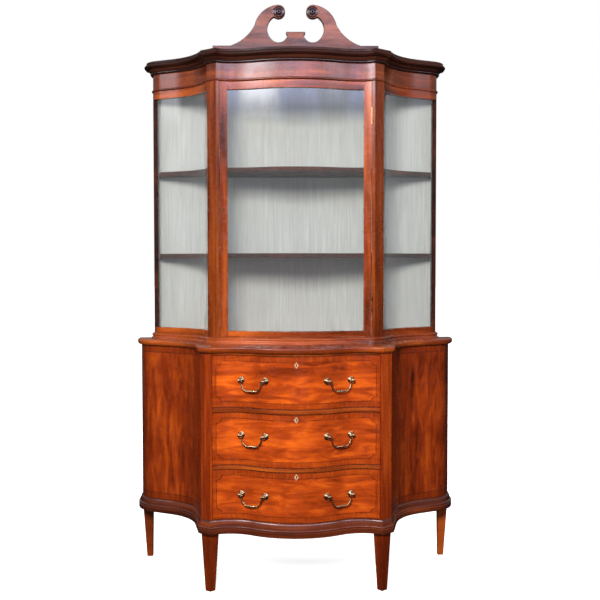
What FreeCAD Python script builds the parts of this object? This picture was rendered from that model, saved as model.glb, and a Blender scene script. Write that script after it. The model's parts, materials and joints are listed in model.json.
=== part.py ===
"""Serpentine display cabinet: a glazed case with one bowed door on a three-drawer base.

Frame: millimetres, +Z up, +X to the right of someone facing the door, -Y towards that person.
The origin is on the floor, in the middle of the footprint. Plan shapes are drawn as
(x, reach), where reach is the distance forward from the wall plane behind the cabinet.
"""
import FreeCAD, Part
import math
import os
from FreeCAD import Vector

os.makedirs("parts", exist_ok=True)

# ---- driving dimensions: overall -------------------------------------------------------
WIDTH = 1230.0              # over the base mouldings
DEPTH = 522.0               # wall plane to the front of the base mouldings
BACK_Y = DEPTH / 2.0

# ---- driving dimensions: heights -------------------------------------------------------
LEG_TOP = 205.0
MOULDING_TOP = 254.0
BOARD = 20.0                # thickness of the base's top board
BASE_TOP = 865.0
DRAWER_NAMES = ("bottom", "middle", "top")
DRAWER_OPENINGS = ((254.0, 433.0), (446.0, 635.0), (650.0, 837.0))
CASE_FLOOR = 889.0
SIGHT_BOTTOM = 910.5        # lower edge of the visible glass
SIGHT_TOP = 1785.5          # upper edge of the visible glass
FRIEZE_BOTTOM = 1815.0
FRIEZE_TOP = 1878.0
CORNICE_TOP = 1925.0
SHELF_TOPS = (1194.0, 1508.0)
SHELF_THICKNESS = 16.0
PEDIMENT_TOP = 2083.0

# ---- driving dimensions: plan of the base, at the front of its mouldings ----------------
BASE_BOW_R = 292.0          # convex middle of the front
BASE_HOLLOW_R = 141.0       # hollow each side of the bow
BASE_HOLLOW_X = 234.0       # where the hollow is deepest
BASE_SWEEP_R = 111.0        # from the hollow out to the corner arris
BASE_ARRIS_X = 304.0
POST_ANGLE = 41.0           # how far the canted corner post is turned back from the front
BASE_POST_FACE = 56.0
SIDE_START_ANGLE = 79.0     # the side leaves the post almost straight back
SIDE_RUN = 119.0
SIDE_HOLLOW_R = 201.0
SIDE_MID_ANGLE = 27.0
SIDE_BOW_R = 126.0
MOULDING_PROJECTION = 15.0  # mouldings stand this far outside the base carcass

# ---- driving dimensions: plan of the glazed case -----------------------------------------
CASE_SETBACK = 65.0         # the case's sides stand this far inside the base mouldings
CASE_REACH = 350.0          # wall plane to the middle of the glazed front
CASE_BOW_R = 372.0
CASE_HOLLOW_R = 217.0
CASE_HOLLOW_X = 237.0
CASE_SWEEP_R = 84.0
CASE_ARRIS_X = 287.0
STILE_REACH = 58.0          # wall plane to the front edge of the case's rear stiles
POST_SIDE = 46.0            # square section of the posts

# ---- driving dimensions: timber, glass and brass ----------------------------------------
PANEL = 18.0
DRAWER_FRONT = 22.0
DRAWER_GAP = 1.0
DRAWER_SIDE = 10.0
DRAWER_BOX_X = 260.0        # half-width over the drawer's sides
DRAWER_BACK_REACH = 45.0
FRAME = 22.0                # thickness of door and side frames
DOOR_X = 274.8              # half-width of the door
SIGHT_X = 248.0             # half-width of the door's visible glass
DOOR_GAP = 1.0
GLASS = 3.0
GLASS_INSET = 9.5
GLASS_REBATE = 7.0
RUNNING = 0.05              # radial clearance of turning pins

HANDLE_X = (108.0, 193.0)   # the two bosses of the right-hand handle
BOSS_R = 13.0
PIVOT_STAND_OFF = 16.0      # bail pivot in front of the drawer's face
BAIL_DROP = 36.0
BAIL_WIRE_R = 2.7
BAIL_PIN_R = 1.9
HANDLE_HEIGHTS = (345.0, 555.0, 748.5)
KEYHOLE_HEIGHTS = (417.0, 616.0, 806.0)

HINGE_X = DOOR_X + 1.0
HINGE_HEIGHT = 60.0
HINGE_BOTTOMS = (980.0, 1660.0)
KNUCKLE_R = 3.5
DOOR_LOCK_X = -262.0
DOOR_LOCK_Z = 1348.0
BOLT_THROW = 6.5

FAR = 3000.0                # larger than the cabinet, for half-space cutting blocks


# ---- plan outlines ----------------------------------------------------------------------
def at(x, reach, z=0.0):
    return Vector(x, BACK_Y - reach, z)


class Pen:
    """Draws the right-hand half of a plan outline as lines and tangent arcs."""

    def __init__(self, reach):
        self.x, self.reach, self.turned = 0.0, reach, 0.0
        self.steps, self.arris = [], None

    def straight(self, length):
        a = math.radians(self.turned)
        start = (self.x, self.reach)
        self.x += length * math.cos(a)
        self.reach -= length * math.sin(a)
        self.steps.append((start, None, (self.x, self.reach)))

    def bend(self, radius, to_angle):
        """Turns until the line points to_angle degrees back from the front."""
        a, b = math.radians(self.turned), math.radians(to_angle)
        side = 1.0 if b > a else -1.0
        cx = self.x - side * radius * math.sin(a)
        cr = self.reach - side * radius * math.cos(a)
        start, m = (self.x, self.reach), (a + b) / 2.0
        middle = (cx + side * radius * math.sin(m), cr + side * radius * math.cos(m))
        self.x = cx + side * radius * math.sin(b)
        self.reach = cr + side * radius * math.cos(b)
        self.turned = to_angle
        self.steps.append((start, middle, (self.x, self.reach)))

    def corner(self, to_angle):
        """Changes direction sharply; the first corner is the cabinet's front arris."""
        if self.arris is None:
            self.arris = (self.x, self.reach)
        self.turned = to_angle


def serpentine(pen, bow_r, hollow_r, hollow_x, sweep_r, arris_x):
    """Bow in the middle, a hollow beside it, and a sweep out to the corner arris."""
    turn = math.degrees(math.asin(hollow_x / (bow_r + hollow_r)))
    pen.bend(bow_r, turn)
    pen.bend(hollow_r, 0.0)
    pen.bend(sweep_r, -math.degrees(math.asin((arris_x - hollow_x) / sweep_r)))


def side_sweep(pen, hollow_r, bow_r, half_width):
    """Hollow then bowed side, ending parallel to the cabinet's axis at half_width."""
    a = math.radians(SIDE_MID_ANGLE)
    pen.bend(hollow_r, SIDE_MID_ANGLE)
    pen.straight((half_width - pen.x - bow_r * (1.0 - math.sin(a))) / math.cos(a))
    pen.bend(bow_r, 90.0)


def base_half():
    pen = Pen(DEPTH)
    serpentine(pen, BASE_BOW_R, BASE_HOLLOW_R, BASE_HOLLOW_X, BASE_SWEEP_R, BASE_ARRIS_X)
    pen.corner(POST_ANGLE)
    pen.straight(BASE_POST_FACE)
    pen.corner(SIDE_START_ANGLE)
    pen.straight(SIDE_RUN)
    side_sweep(pen, SIDE_HOLLOW_R, SIDE_BOW_R, WIDTH / 2.0)
    return pen


def case_half():
    """The case's outline at its carcass line."""
    pen = Pen(CASE_REACH)
    serpentine(pen, CASE_BOW_R, CASE_HOLLOW_R, CASE_HOLLOW_X, CASE_SWEEP_R, CASE_ARRIS_X)
    pen.corner(POST_ANGLE)
    pen.straight(POST_SIDE)
    hollow_r = SIDE_HOLLOW_R + CASE_SETBACK
    bow_r = SIDE_BOW_R - CASE_SETBACK
    half_width = WIDTH / 2.0 - CASE_SETBACK
    side_back = base_half().reach
    rise = (pen.reach - side_back) - bow_r * math.cos(math.radians(SIDE_MID_ANGLE))
    run = half_width - pen.x - bow_r * (1.0 - math.sin(math.radians(SIDE_MID_ANGLE)))
    pen.corner(start_angle(hollow_r, run, rise))
    side_sweep(pen, hollow_r, bow_r, half_width)
    return pen


def start_angle(radius, run, rise):
    """Angle at which an arc must start to end at SIDE_MID_ANGLE on a line run, rise away."""
    m = math.radians(SIDE_MID_ANGLE)
    low, high = m, math.radians(89.0)
    for _ in range(60):
        a = (low + high) / 2.0
        dx = radius * (math.sin(a) - math.sin(m))
        dr = radius * (math.cos(m) - math.cos(a))
        if dr + (run - dx) * math.tan(m) < rise:
            low = a
        else:
            high = a
    return math.degrees(a)


BASE_HALF = base_half()
CASE_HALF = case_half()


def plan_wire(pen, back_reach):
    """Closed outline of both halves, with its back edge at back_reach."""
    right, left = [], []
    steps = list(pen.steps)
    steps.append(((pen.x, pen.reach), None, (pen.x, back_reach)))
    for start, middle, end in steps:
        if middle is None:
            right.append(Part.LineSegment(at(*start), at(*end)).toShape())
            left.append(Part.LineSegment(at(-end[0], end[1]), at(-start[0], start[1])).toShape())
        else:
            right.append(Part.Arc(at(*start), at(*middle), at(*end)).toShape())
            flip = [at(-p[0], p[1]) for p in (end, middle, start)]
            left.append(Part.Arc(*flip).toShape())
    back = Part.LineSegment(at(pen.x, back_reach), at(-pen.x, back_reach)).toShape()
    return Part.Wire(right + [back] + left[::-1])


def footprint(pen, inset):
    """Plan face inset from the outline (outset if negative), its back on the wall plane."""
    face = Part.Face(plan_wire(pen, -inset))
    if abs(inset) < 1e-6:
        return face
    return face.makeOffset2D(-inset, join=2, fill=False)


def block(pen, inset, z0, z1):
    """Solid over the footprint between two heights."""
    face = footprint(pen, inset)
    face.translate(Vector(0, 0, z0))
    return face.extrude(Vector(0, 0, z1 - z0))


def shell(pen, inset, thickness, z0, z1):
    """Upright wall of even thickness following the outline."""
    return block(pen, inset, z0, z1).cut(block(pen, inset + thickness, z0 - 1.0, z1 + 1.0))


def slab(x0, x1, reach0, reach1, z0, z1):
    """Straight block between limits in x, reach and height."""
    return Part.makeBox(x1 - x0, reach1 - reach0, z1 - z0, at(x0, reach1, z0))


def mirrored(shape):
    return shape.mirror(Vector(0, 0, 0), Vector(1, 0, 0))


def pair(shape):
    """A right-hand piece with its left-hand partner."""
    return Part.makeCompound([shape, mirrored(shape)])


def upright(x, reach, z0, z1, radius):
    return Part.makeCylinder(radius, z1 - z0, at(x, reach, z0))


def moulding(pen, profile):
    """Solid over the footprint whose edge follows a profile of (inset, z), bottom to top."""
    layers = []
    for (inset0, z0), (inset1, z1) in zip(profile, profile[1:]):
        low, high = footprint(pen, inset0), footprint(pen, inset1)
        low.translate(Vector(0, 0, z0))
        high.translate(Vector(0, 0, z1))
        layers.append(Part.makeLoft([low.Wires[0], high.Wires[0]], True, True))
    return layers[0].multiFuse(layers[1:]).removeSplitter()


def reach_at(pen, inset, x):
    """How far forward the outline's front reaches at x."""
    ray = Part.LineSegment(at(x, 1.0), at(x, DEPTH + 100.0)).toShape()
    return BACK_Y - ray.common(footprint(pen, inset)).BoundBox.YMin


# ---- canted posts -----------------------------------------------------------------------
def arris(pen, inset):
    """Plan position of the right-hand front corner at an inset from the outline."""
    target = at(*pen.arris)
    return min((v.Point for v in footprint(pen, inset).Vertexes), key=target.distanceToPoint)


def canted_square(corner, side, z):
    """Square wire turned by the post angle, its front arris at corner."""
    a = math.radians(POST_ANGLE)
    along = Vector(math.cos(a), math.sin(a), 0) * side
    inward = Vector(-math.sin(a), math.cos(a), 0) * side
    p = Vector(corner.x, corner.y, z)
    return Part.makePolygon([p, p + along, p + along + inward, p + inward, p])


def canted_post(corner, side, z0, z1):
    return Part.Face(canted_square(corner, side, z0)).extrude(Vector(0, 0, z1 - z0))


def corner_post(pen, inset, inner_x, z0, z1):
    """Right-hand post: a canted square with a straight edge on the opening side at inner_x."""
    corner = arris(pen, inset)
    square = canted_post(corner, POST_SIDE, z0, z1)
    sliver = block(pen, inset, z0, z1).common(
        slab(inner_x, corner.x, BACK_Y - corner.y - POST_SIDE / 2.0, DEPTH, z0, z1))
    keep = slab(inner_x, FAR, 0.0, DEPTH, z0, z1)
    return square.fuse(sliver).common(keep).removeSplitter()


def biggest(shape):
    return max(shape.Solids, key=lambda s: s.Volume)


# ---- base -------------------------------------------------------------------------------
CARCASS = MOULDING_PROJECTION            # inset of the base carcass from its mouldings
CARCASS_TOP = BASE_TOP - BOARD
BOTTOM_BOARD_Z = MOULDING_TOP - PANEL
BASE_CORNER = arris(BASE_HALF, CARCASS)
OPENING_X = BASE_CORNER.x - 8.0          # half-width of the drawer openings
POST_BLOCK = canted_post(BASE_CORNER, POST_SIDE, LEG_TOP, CARCASS_TOP)
REAR_POST_SIDE = 38.0
REAR_POST_X = WIDTH / 2.0 - CARCASS - REAR_POST_SIDE
REAR_POST = slab(REAR_POST_X, REAR_POST_X + REAR_POST_SIDE, 0.0, REAR_POST_SIDE, LEG_TOP, CARCASS_TOP)
RAIL_BACK = 350.0                        # reach of the drawer rails' rear edge


def front_posts():
    foot = canted_square(BASE_CORNER, 25.0, 0.0)
    top = canted_square(BASE_CORNER, 44.0, LEG_TOP)
    leg = Part.makeLoft([foot, top], True, True)
    hidden = canted_post(BASE_CORNER, POST_SIDE, LEG_TOP, MOULDING_TOP)
    post = corner_post(BASE_HALF, CARCASS, OPENING_X, MOULDING_TOP, CARCASS_TOP)
    return pair(leg.fuse([hidden, post]).removeSplitter())


def rear_legs():
    def square(x0, reach0, side, z):
        corners = [(0, 0), (side, 0), (side, side), (0, side), (0, 0)]
        return Part.makePolygon([at(x0 + dx, reach0 + dr, z) for dx, dr in corners])
    foot, top = square(REAR_POST_X + 2.0, 12.0, 22.0, 0.0), square(REAR_POST_X, 0.0, REAR_POST_SIDE, LEG_TOP)
    leg = Part.makeLoft([foot, top], True, True)
    return pair(leg.fuse(REAR_POST).removeSplitter())


def base_moulding():
    profile = [(2.0, 205.0), (0.0, 207.0), (0.0, 229.5), (2.0, 232.5), (6.0, 234.0), (7.5, 240.0),
               (9.0, 248.0), (13.0, 254.0)]
    band = moulding(BASE_HALF, profile)
    band = band.cut(block(BASE_HALF, CARCASS + PANEL, LEG_TOP - 1.0, BOTTOM_BOARD_Z))
    band = band.cut(block(BASE_HALF, CARCASS, BOTTOM_BOARD_Z, MOULDING_TOP + 1.0))
    return band.cut([POST_BLOCK, mirrored(POST_BLOCK), REAR_POST, mirrored(REAR_POST)])


def base_floor():
    board = block(BASE_HALF, CARCASS, BOTTOM_BOARD_Z, MOULDING_TOP)
    return board.cut([POST_BLOCK, mirrored(POST_BLOCK), REAR_POST, mirrored(REAR_POST)])


def base_side():
    wall = shell(BASE_HALF, CARCASS, PANEL, MOULDING_TOP, CARCASS_TOP)
    wall = wall.common(slab(BASE_CORNER.x + 2.0, WIDTH, 0.0, DEPTH, MOULDING_TOP, CARCASS_TOP))
    return biggest(wall.cut([POST_BLOCK, REAR_POST]))


def base_back():
    return slab(-REAR_POST_X, REAR_POST_X, 4.0, 12.0, MOULDING_TOP, CARCASS_TOP)


def base_top():
    edge = [(7.0, 845.0), (4.0, 846.5), (1.5, 849.5), (0.0, 853.5), (0.0, 859.0), (1.0, 862.5), (3.5, 865.0)]
    return moulding(BASE_HALF, edge)


def drawer_rails():
    """Rails above each drawer, mortised for the drawer's lock bolt."""
    rails = []
    levels = [z1 for _, z1 in DRAWER_OPENINGS]
    tops = [z0 for z0, _ in DRAWER_OPENINGS[1:]] + [CARCASS_TOP]
    for z0, z1 in zip(levels, tops):
        rail = block(BASE_HALF, CARCASS, z0, z1).common(
            slab(-OPENING_X, OPENING_X, RAIL_BACK, DEPTH, z0, z1))
        rails.append(rail.cut(bolt_box(z0 - 1.0, z0 + BOLT_THROW + 0.8, 0.5)))
    return Part.makeCompound(rails)


def drawer_partitions():
    return pair(slab(DRAWER_BOX_X + 3.0, DRAWER_BOX_X + 21.0, 40.0, RAIL_BACK, MOULDING_TOP, CARCASS_TOP))


def drawer_runners():
    strips = []
    for z0, _ in DRAWER_OPENINGS[1:]:
        strip = slab(DRAWER_BOX_X - 22.0, DRAWER_BOX_X + 3.0, 40.0, RAIL_BACK, z0 - 13.0, z0)
        strips += [strip, mirrored(strip)]
    return Part.makeCompound(strips)


# ---- drawers ----------------------------------------------------------------------------
FACE_REACH = DEPTH - CARCASS             # drawer face at the middle of the bow
LOCK_BACK = FACE_REACH - DRAWER_FRONT
LOCK_DEPTH = 10.0
BOLT_HALF_WIDTH = 9.0
BOLT_HEIGHT = 22.0


def bolt_box(z0, z1, clearance):
    """Block at a drawer lock's bolt, wider by the clearance on each side."""
    half = BOLT_HALF_WIDTH + clearance
    return slab(-half, half, LOCK_BACK + 2.0 - clearance, LOCK_BACK + 8.0 + clearance, z0, z1)


def drawer_front(opening, keyhole_z, fittings):
    z0, z1 = opening[0] + DRAWER_GAP, opening[1] - DRAWER_GAP
    half = OPENING_X - DRAWER_GAP
    plank = shell(BASE_HALF, CARCASS, DRAWER_FRONT, z0, z1).common(
        slab(-half, half, RAIL_BACK, DEPTH, z0, z1))
    plank = plank.cut(keyhole(keyhole_z, LOCK_BACK + LOCK_DEPTH, FACE_REACH + 5.0))
    return plank.cut(fittings)


def drawer_box(opening):
    """Sides, back and bottom, cut to the curved inner face of the front."""
    z0, z1 = opening[0] + 0.5, opening[1] - 9.0
    inside = block(BASE_HALF, CARCASS + DRAWER_FRONT, z0, z1)
    inner_x = DRAWER_BOX_X - DRAWER_SIDE
    side = slab(inner_x, DRAWER_BOX_X, DRAWER_BACK_REACH, DEPTH, z0, z1).common(inside)
    bottom = slab(-inner_x, inner_x, DRAWER_BACK_REACH, DEPTH, z0 + 10.0, z0 + 16.0).common(inside)
    back = slab(-inner_x, inner_x, DRAWER_BACK_REACH, DRAWER_BACK_REACH + 8.0, z0 + 16.0, z1 - 6.0)
    return Part.makeCompound([side, mirrored(side), bottom, back])


def keyhole(z, reach0, reach1):
    barrel = Part.makeCylinder(2.8, reach1 - reach0, at(0.0, reach1, z + 2.0), Vector(0, 1, 0))
    return barrel.fuse(slab(-1.4, 1.4, reach0, reach1, z - 6.0, z + 2.0))


def escutcheon(z):
    """Diamond of bone let flush into the drawer's face."""
    half_width, half_height, depth = 7.5, 11.5, 1.5
    tips = [(0, -half_height), (half_width, 0), (0, half_height), (-half_width, 0), (0, -half_height)]
    outline = Part.makePolygon([at(dx, FACE_REACH - 10.0, z + dz) for dx, dz in tips])
    prism = Part.Face(outline).extrude(Vector(0, -20.0, 0))
    skin = shell(BASE_HALF, CARCASS, depth, z - 20.0, z + 20.0)
    return prism.common(skin).cut(keyhole(z, LOCK_BACK, FACE_REACH + 5.0))


def drawer_lock(opening):
    top = opening[1] - DRAWER_GAP
    case = slab(-25.0, 25.0, LOCK_BACK, LOCK_BACK + LOCK_DEPTH, top - 38.0, top)
    return case.cut(bolt_box(top - BOLT_HEIGHT - 0.3, top + 1.0, 0.3))


def drawer_bolt(opening):
    top = opening[1] - DRAWER_GAP
    return bolt_box(top - BOLT_HEIGHT, top, 0.0)


def lock_pocket(opening):
    top = opening[1] - DRAWER_GAP
    return slab(-25.0, 25.0, LOCK_BACK - 20.0, LOCK_BACK + LOCK_DEPTH, top - 38.0, top + 5.0)


# ---- drawer handles ---------------------------------------------------------------------
class HandlePlace:
    """Right-hand handle: pivots, chord between the bosses and the outward normal."""

    def __init__(self, z):
        feet = [at(x, reach_at(BASE_HALF, CARCASS, x), z) for x in HANDLE_X]
        self.chord = (feet[1] - feet[0]).normalize()
        self.out = self.chord.cross(Vector(0, 0, -1))
        if self.out.y > 0:
            self.out = self.out * -1.0
        self.feet = feet
        self.pivots = [foot + self.out * PIVOT_STAND_OFF for foot in feet]
        self.middle = (self.pivots[0] + self.pivots[1]) * 0.5
        self.half = (self.pivots[1] - self.pivots[0]).Length / 2.0

    def point(self, along, z):
        return self.middle + self.chord * along + Vector(0, 0, z)


def boss(place, foot, pivot):
    """Turned rose, neck and ball with the hole that takes the bail's pin."""
    def disc(radius, start, end):
        return Part.makeCylinder(radius, end - start, foot + place.out * start, place.out)
    rose = disc(BOSS_R, -3.0, 2.5).fuse([disc(8.0, 2.5, 4.5), disc(4.5, 4.5, PIVOT_STAND_OFF)])
    shank = disc(2.5, -DRAWER_FRONT - 8.0, -3.0)
    nut = disc(6.0, -DRAWER_FRONT - 6.0, -DRAWER_FRONT - 2.5)
    ball = Part.makeSphere(6.0, pivot)
    hole = Part.makeCylinder(BAIL_PIN_R + RUNNING, 20.0, pivot - place.chord * 10.0, place.chord)
    return rose.fuse([shank, nut, ball]).cut(hole).removeSplitter()


def handle_bosses(z):
    place = HandlePlace(z)
    right = Part.makeCompound([boss(place, f, p) for f, p in zip(place.feet, place.pivots)])
    return Part.makeCompound(right.Solids + mirrored(right).Solids)


def rounded_path(points, radii):
    """Straight runs through the points, each inner corner rounded with its own radius."""
    edges, start = [], points[0]
    for before, corner, after, radius in zip(points, points[1:], points[2:], radii):
        a, b = (before - corner).normalize(), (after - corner).normalize()
        half = a.getAngle(b) / 2.0
        cut = radius / math.tan(half)
        middle = corner + (a + b).normalize() * (radius / math.sin(half) - radius)
        edges.append(Part.LineSegment(start, corner + a * cut).toShape())
        edges.append(Part.Arc(corner + a * cut, middle, corner + b * cut).toShape())
        start = corner + b * cut
    edges.append(Part.LineSegment(start, points[-1]).toShape())
    return Part.Wire(edges)


def bail(z):
    """Bail of one handle, hanging between its bosses, with the pins that turn in them."""
    place = HandlePlace(z)
    half = place.half
    corners = [(half - 6.6, 0.0), (half - 10.8, 0.0), (half - 7.4, -10.5), (half - 13.0, -25.5),
               (half - 25.0, -BAIL_DROP)]
    radii = [3.0, 9.0, 14.0, 10.0]
    right = [place.point(u, dz) for u, dz in corners]
    left = [place.point(-u, dz) for u, dz in corners]
    path = rounded_path(left + right[::-1], radii + radii[::-1])
    section = Part.Wire(Part.makeCircle(BAIL_WIRE_R, left[0], place.chord))
    wire = path.makePipeShell([section], True, False)
    pins = [Part.makeCylinder(BAIL_PIN_R, 10.5, place.point(s * (half - 7.0), 0.0), place.chord * s)
            for s in (1.0, -1.0)]
    return wire.fuse(pins).removeSplitter()


# ---- glazed case ------------------------------------------------------------------------
CASE_CORNER = arris(CASE_HALF, 0.0)
POST_X = DOOR_X + 2.0                    # opening-side face of the case posts
CASE_POST_BLOCK = canted_post(CASE_CORNER, POST_SIDE, CASE_FLOOR, FRIEZE_BOTTOM)
STILE_THICKNESS = 14.0
CORNICE_WALL = 18.0
BACK_HALF_WIDTH = WIDTH / 2.0 - CASE_SETBACK - STILE_THICKNESS
BACK_THICKNESS = 8.0
LINING = 1.2


def back_rebate():
    """Room cut in the frieze and the cornice for the back board and its lining."""
    return slab(-BACK_HALF_WIDTH, BACK_HALF_WIDTH, -1.0, BACK_THICKNESS + LINING, FRIEZE_BOTTOM - 1.0,
                CORNICE_TOP - PANEL)


def plinth_moulding():
    profile = [(-12.0, 865.0), (-12.0, 868.0), (-8.0, 872.0), (-6.5, 877.0), (-9.0, 879.0),
               (-9.5, 883.0), (-7.0, 886.0), (-2.0, 889.0)]
    return moulding(CASE_HALF, profile).cut(block(CASE_HALF, 0.0, BASE_TOP - 1.0, CASE_FLOOR + 1.0))


def case_floor():
    return block(CASE_HALF, 0.0, BASE_TOP, CASE_FLOOR)


def case_posts():
    return pair(corner_post(CASE_HALF, 0.0, POST_X, CASE_FLOOR, FRIEZE_BOTTOM))


def rear_stiles():
    wall = shell(CASE_HALF, 0.0, STILE_THICKNESS, CASE_FLOOR, FRIEZE_BOTTOM)
    return pair(biggest(wall.common(slab(450.0, WIDTH, 0.0, STILE_REACH, CASE_FLOOR, FRIEZE_BOTTOM))))


def side_strip(inset, thickness, z0, z1):
    """Right-hand curved strip between the canted post and the rear stile."""
    wall = shell(CASE_HALF, inset, thickness, z0, z1)
    wall = wall.common(slab(CASE_CORNER.x + 2.0, WIDTH, STILE_REACH, CASE_REACH, z0, z1))
    return biggest(wall.cut(CASE_POST_BLOCK))


def side_glass():
    return side_strip(GLASS_INSET, GLASS, SIGHT_BOTTOM - GLASS_REBATE, SIGHT_TOP + GLASS_REBATE)


def side_rails():
    rails = []
    for z0, z1 in ((CASE_FLOOR, SIGHT_BOTTOM), (SIGHT_TOP, FRIEZE_BOTTOM)):
        rail = side_strip(0.0, FRAME, z0, z1).cut(side_glass())
        rails += [rail, mirrored(rail)]
    return Part.makeCompound(rails)


def frieze():
    bead = [(0.0, 1815.0), (-4.0, 1816.0), (-5.0, 1819.0), (-4.0, 1822.0), (0.0, 1823.0)]
    band = moulding(CASE_HALF, bead).fuse(block(CASE_HALF, 0.0, FRIEZE_BOTTOM, FRIEZE_TOP))
    inside = block(CASE_HALF, FRAME, FRIEZE_BOTTOM - 1.0, FRIEZE_TOP + 1.0)
    return band.cut([inside, back_rebate()]).removeSplitter()


def cornice():
    profile = [(-1.0, 1878.0), (-6.0, 1883.0), (-12.0, 1890.5), (-14.0, 1892.0), (-15.0, 1899.0),
               (-23.0, 1900.0), (-30.0, 1903.0), (-33.0, 1908.0), (-31.5, 1912.5), (-27.0, 1916.0),
               (-25.0, 1917.0), (-25.0, 1925.0)]
    ring = moulding(CASE_HALF, profile)
    return ring.cut([block(CASE_HALF, CORNICE_WALL, FRIEZE_TOP - 1.0, CORNICE_TOP + 1.0), back_rebate()])


def case_top():
    return block(CASE_HALF, CORNICE_WALL, CORNICE_TOP - PANEL, CORNICE_TOP)


def case_back():
    return slab(-BACK_HALF_WIDTH, BACK_HALF_WIDTH, 0.0, BACK_THICKNESS, CASE_FLOOR, CORNICE_TOP - PANEL)


def back_lining():
    half = BACK_HALF_WIDTH - 0.5
    return slab(-half, half, BACK_THICKNESS, BACK_THICKNESS + LINING, CASE_FLOOR + 0.5, FRIEZE_TOP)


def shelf(top):
    """Board set back behind the door, its ends close to the side glass."""
    z0 = top - SHELF_THICKNESS
    end = block(CASE_HALF, 16.0, z0, top).common(slab(CASE_CORNER.x, FAR, 0.0, CASE_REACH, z0, top))
    board = block(CASE_HALF, 38.0, z0, top).fuse([end, mirrored(end)])
    board = board.common(slab(-FAR, FAR, 11.0, CASE_REACH, z0, top)).removeSplitter()
    notch = canted_post(CASE_CORNER, POST_SIDE + 1.0, z0 - 1.0, top + 1.0)
    return board.cut([notch, mirrored(notch)])


def shelf_supports():
    """Pegs under each shelf, out of the rear stiles and the canted posts."""
    a = math.radians(POST_ANGLE)
    along, inward = Vector(math.cos(a), math.sin(a), 0), Vector(-math.sin(a), math.cos(a), 0)
    post_face = CASE_CORNER + along * (POST_SIDE / 2.0) + inward * POST_SIDE
    radius, length = 3.0, 15.0
    pegs = []
    for top in SHELF_TOPS:
        z = top - SHELF_THICKNESS - radius
        front = Part.makeCylinder(radius, length, post_face + Vector(0, 0, z), inward)
        rear = Part.makeCylinder(radius, length, at(BACK_HALF_WIDTH, 34.0, z), Vector(-1, 0, 0))
        pegs += [front, rear, mirrored(front), mirrored(rear)]
    return Part.makeCompound(pegs)


# ---- pediment ---------------------------------------------------------------------------
PEDIMENT_FACE = 322.0       # reach of the pediment board's front
PEDIMENT_THICKNESS = 22.0
PEDIMENT_HALF = 298.0
STRIP_TOP = 1938.0
EYE_X, EYE_Z, EYE_R = 60.5, 2058.0, 20.5
BLOCK_HALF, BLOCK_TOP = 35.0, 1987.5


def pediment():
    """Fretted board: broken swan-neck scrolls, a middle block and a long low strip."""
    def p(x, z):
        return at(x, PEDIMENT_FACE, z)

    def arc(*ends):
        return Part.Arc(*[p(*e) for e in ends]).toShape()

    def line(a, b):
        return Part.LineSegment(p(*a), p(*b)).toShape()

    foot, waist, crest = (235.0, STRIP_TOP), (147.5, 2010.5), (68.0, PEDIMENT_TOP)
    chin, throat = (56.5, EYE_Z - 23.0), (78.0, 2040.5)
    hollow, block_foot = (86.0, 1960.5), (29.5, 1974.0)
    right = [
        line((BLOCK_HALF, BLOCK_TOP), (BLOCK_HALF, 1981.0)),
        line((BLOCK_HALF, 1981.0), block_foot),
        arc(block_foot, (55.0, 1950.5), hollow),
        arc(hollow, (101.5, 1999.0), throat),
        arc(throat, (68.0, 2035.5), chin),
        arc(chin, (38.5, 2066.0), crest),
        arc(crest, (108.5, 2067.5), waist),
        arc(waist, (180.0, 1969.0), foot),
        line(foot, (PEDIMENT_HALF, STRIP_TOP)),
        line((PEDIMENT_HALF, STRIP_TOP), (PEDIMENT_HALF, CORNICE_TOP)),
        line((PEDIMENT_HALF, CORNICE_TOP), (0.0, CORNICE_TOP)),
    ]
    top = line((0.0, BLOCK_TOP), (BLOCK_HALF, BLOCK_TOP))
    centre = line((0.0, CORNICE_TOP), (0.0, BLOCK_TOP))
    half = Part.Face(Part.Wire([top] + right + [centre])).extrude(Vector(0, PEDIMENT_THICKNESS, 0))
    return half.fuse(mirrored(half)).removeSplitter()


def rosettes():
    disc = Part.makeCylinder(EYE_R, 4.0, at(EYE_X, PEDIMENT_FACE, EYE_Z), Vector(0, -1, 0))
    button = Part.makeCylinder(8.0, 3.0, at(EYE_X, PEDIMENT_FACE + 4.0, EYE_Z), Vector(0, -1, 0))
    return pair(disc.fuse(button))


# ---- door -------------------------------------------------------------------------------
DOOR_Z = (CASE_FLOOR + DOOR_GAP, FRIEZE_BOTTOM - DOOR_GAP)
HINGE_REACH = reach_at(CASE_HALF, 0.0, HINGE_X) + 1.5
LEAF = 1.6
LEAF_DEPTH = 18.0
DOOR_LOCK_FACE = reach_at(CASE_HALF, 0.0, -DOOR_LOCK_X)


def door_strip(x0, x1, inset, thickness, z0, z1):
    wall = shell(CASE_HALF, inset, thickness, z0, z1)
    return wall.common(slab(x0, x1, CASE_REACH / 2.0, CASE_REACH + 1.0, z0, z1))


def door_glass():
    half = SIGHT_X + GLASS_REBATE
    return door_strip(-half, half, GLASS_INSET, GLASS, SIGHT_BOTTOM - GLASS_REBATE, SIGHT_TOP + GLASS_REBATE)


def door_rails():
    glass = door_glass()
    spans = ((DOOR_Z[0], SIGHT_BOTTOM), (SIGHT_TOP, DOOR_Z[1]))
    return Part.makeCompound([door_strip(-SIGHT_X, SIGHT_X, 0.0, FRAME, *s).cut(glass) for s in spans])


def door_stiles():
    right = door_strip(SIGHT_X, DOOR_X, 0.0, FRAME, *DOOR_Z)
    right = right.cut([hinge_recess(z, -1.0) for z in HINGE_BOTTOMS])
    left = mirrored(door_strip(SIGHT_X, DOOR_X, 0.0, FRAME, *DOOR_Z))
    left = left.cut([door_lock_pocket(), door_keyhole()])
    return Part.makeCompound([right, left]).cut(door_glass())


def knuckle(z0, z1, radius):
    return upright(HINGE_X, HINGE_REACH, z0, z1, radius)


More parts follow.
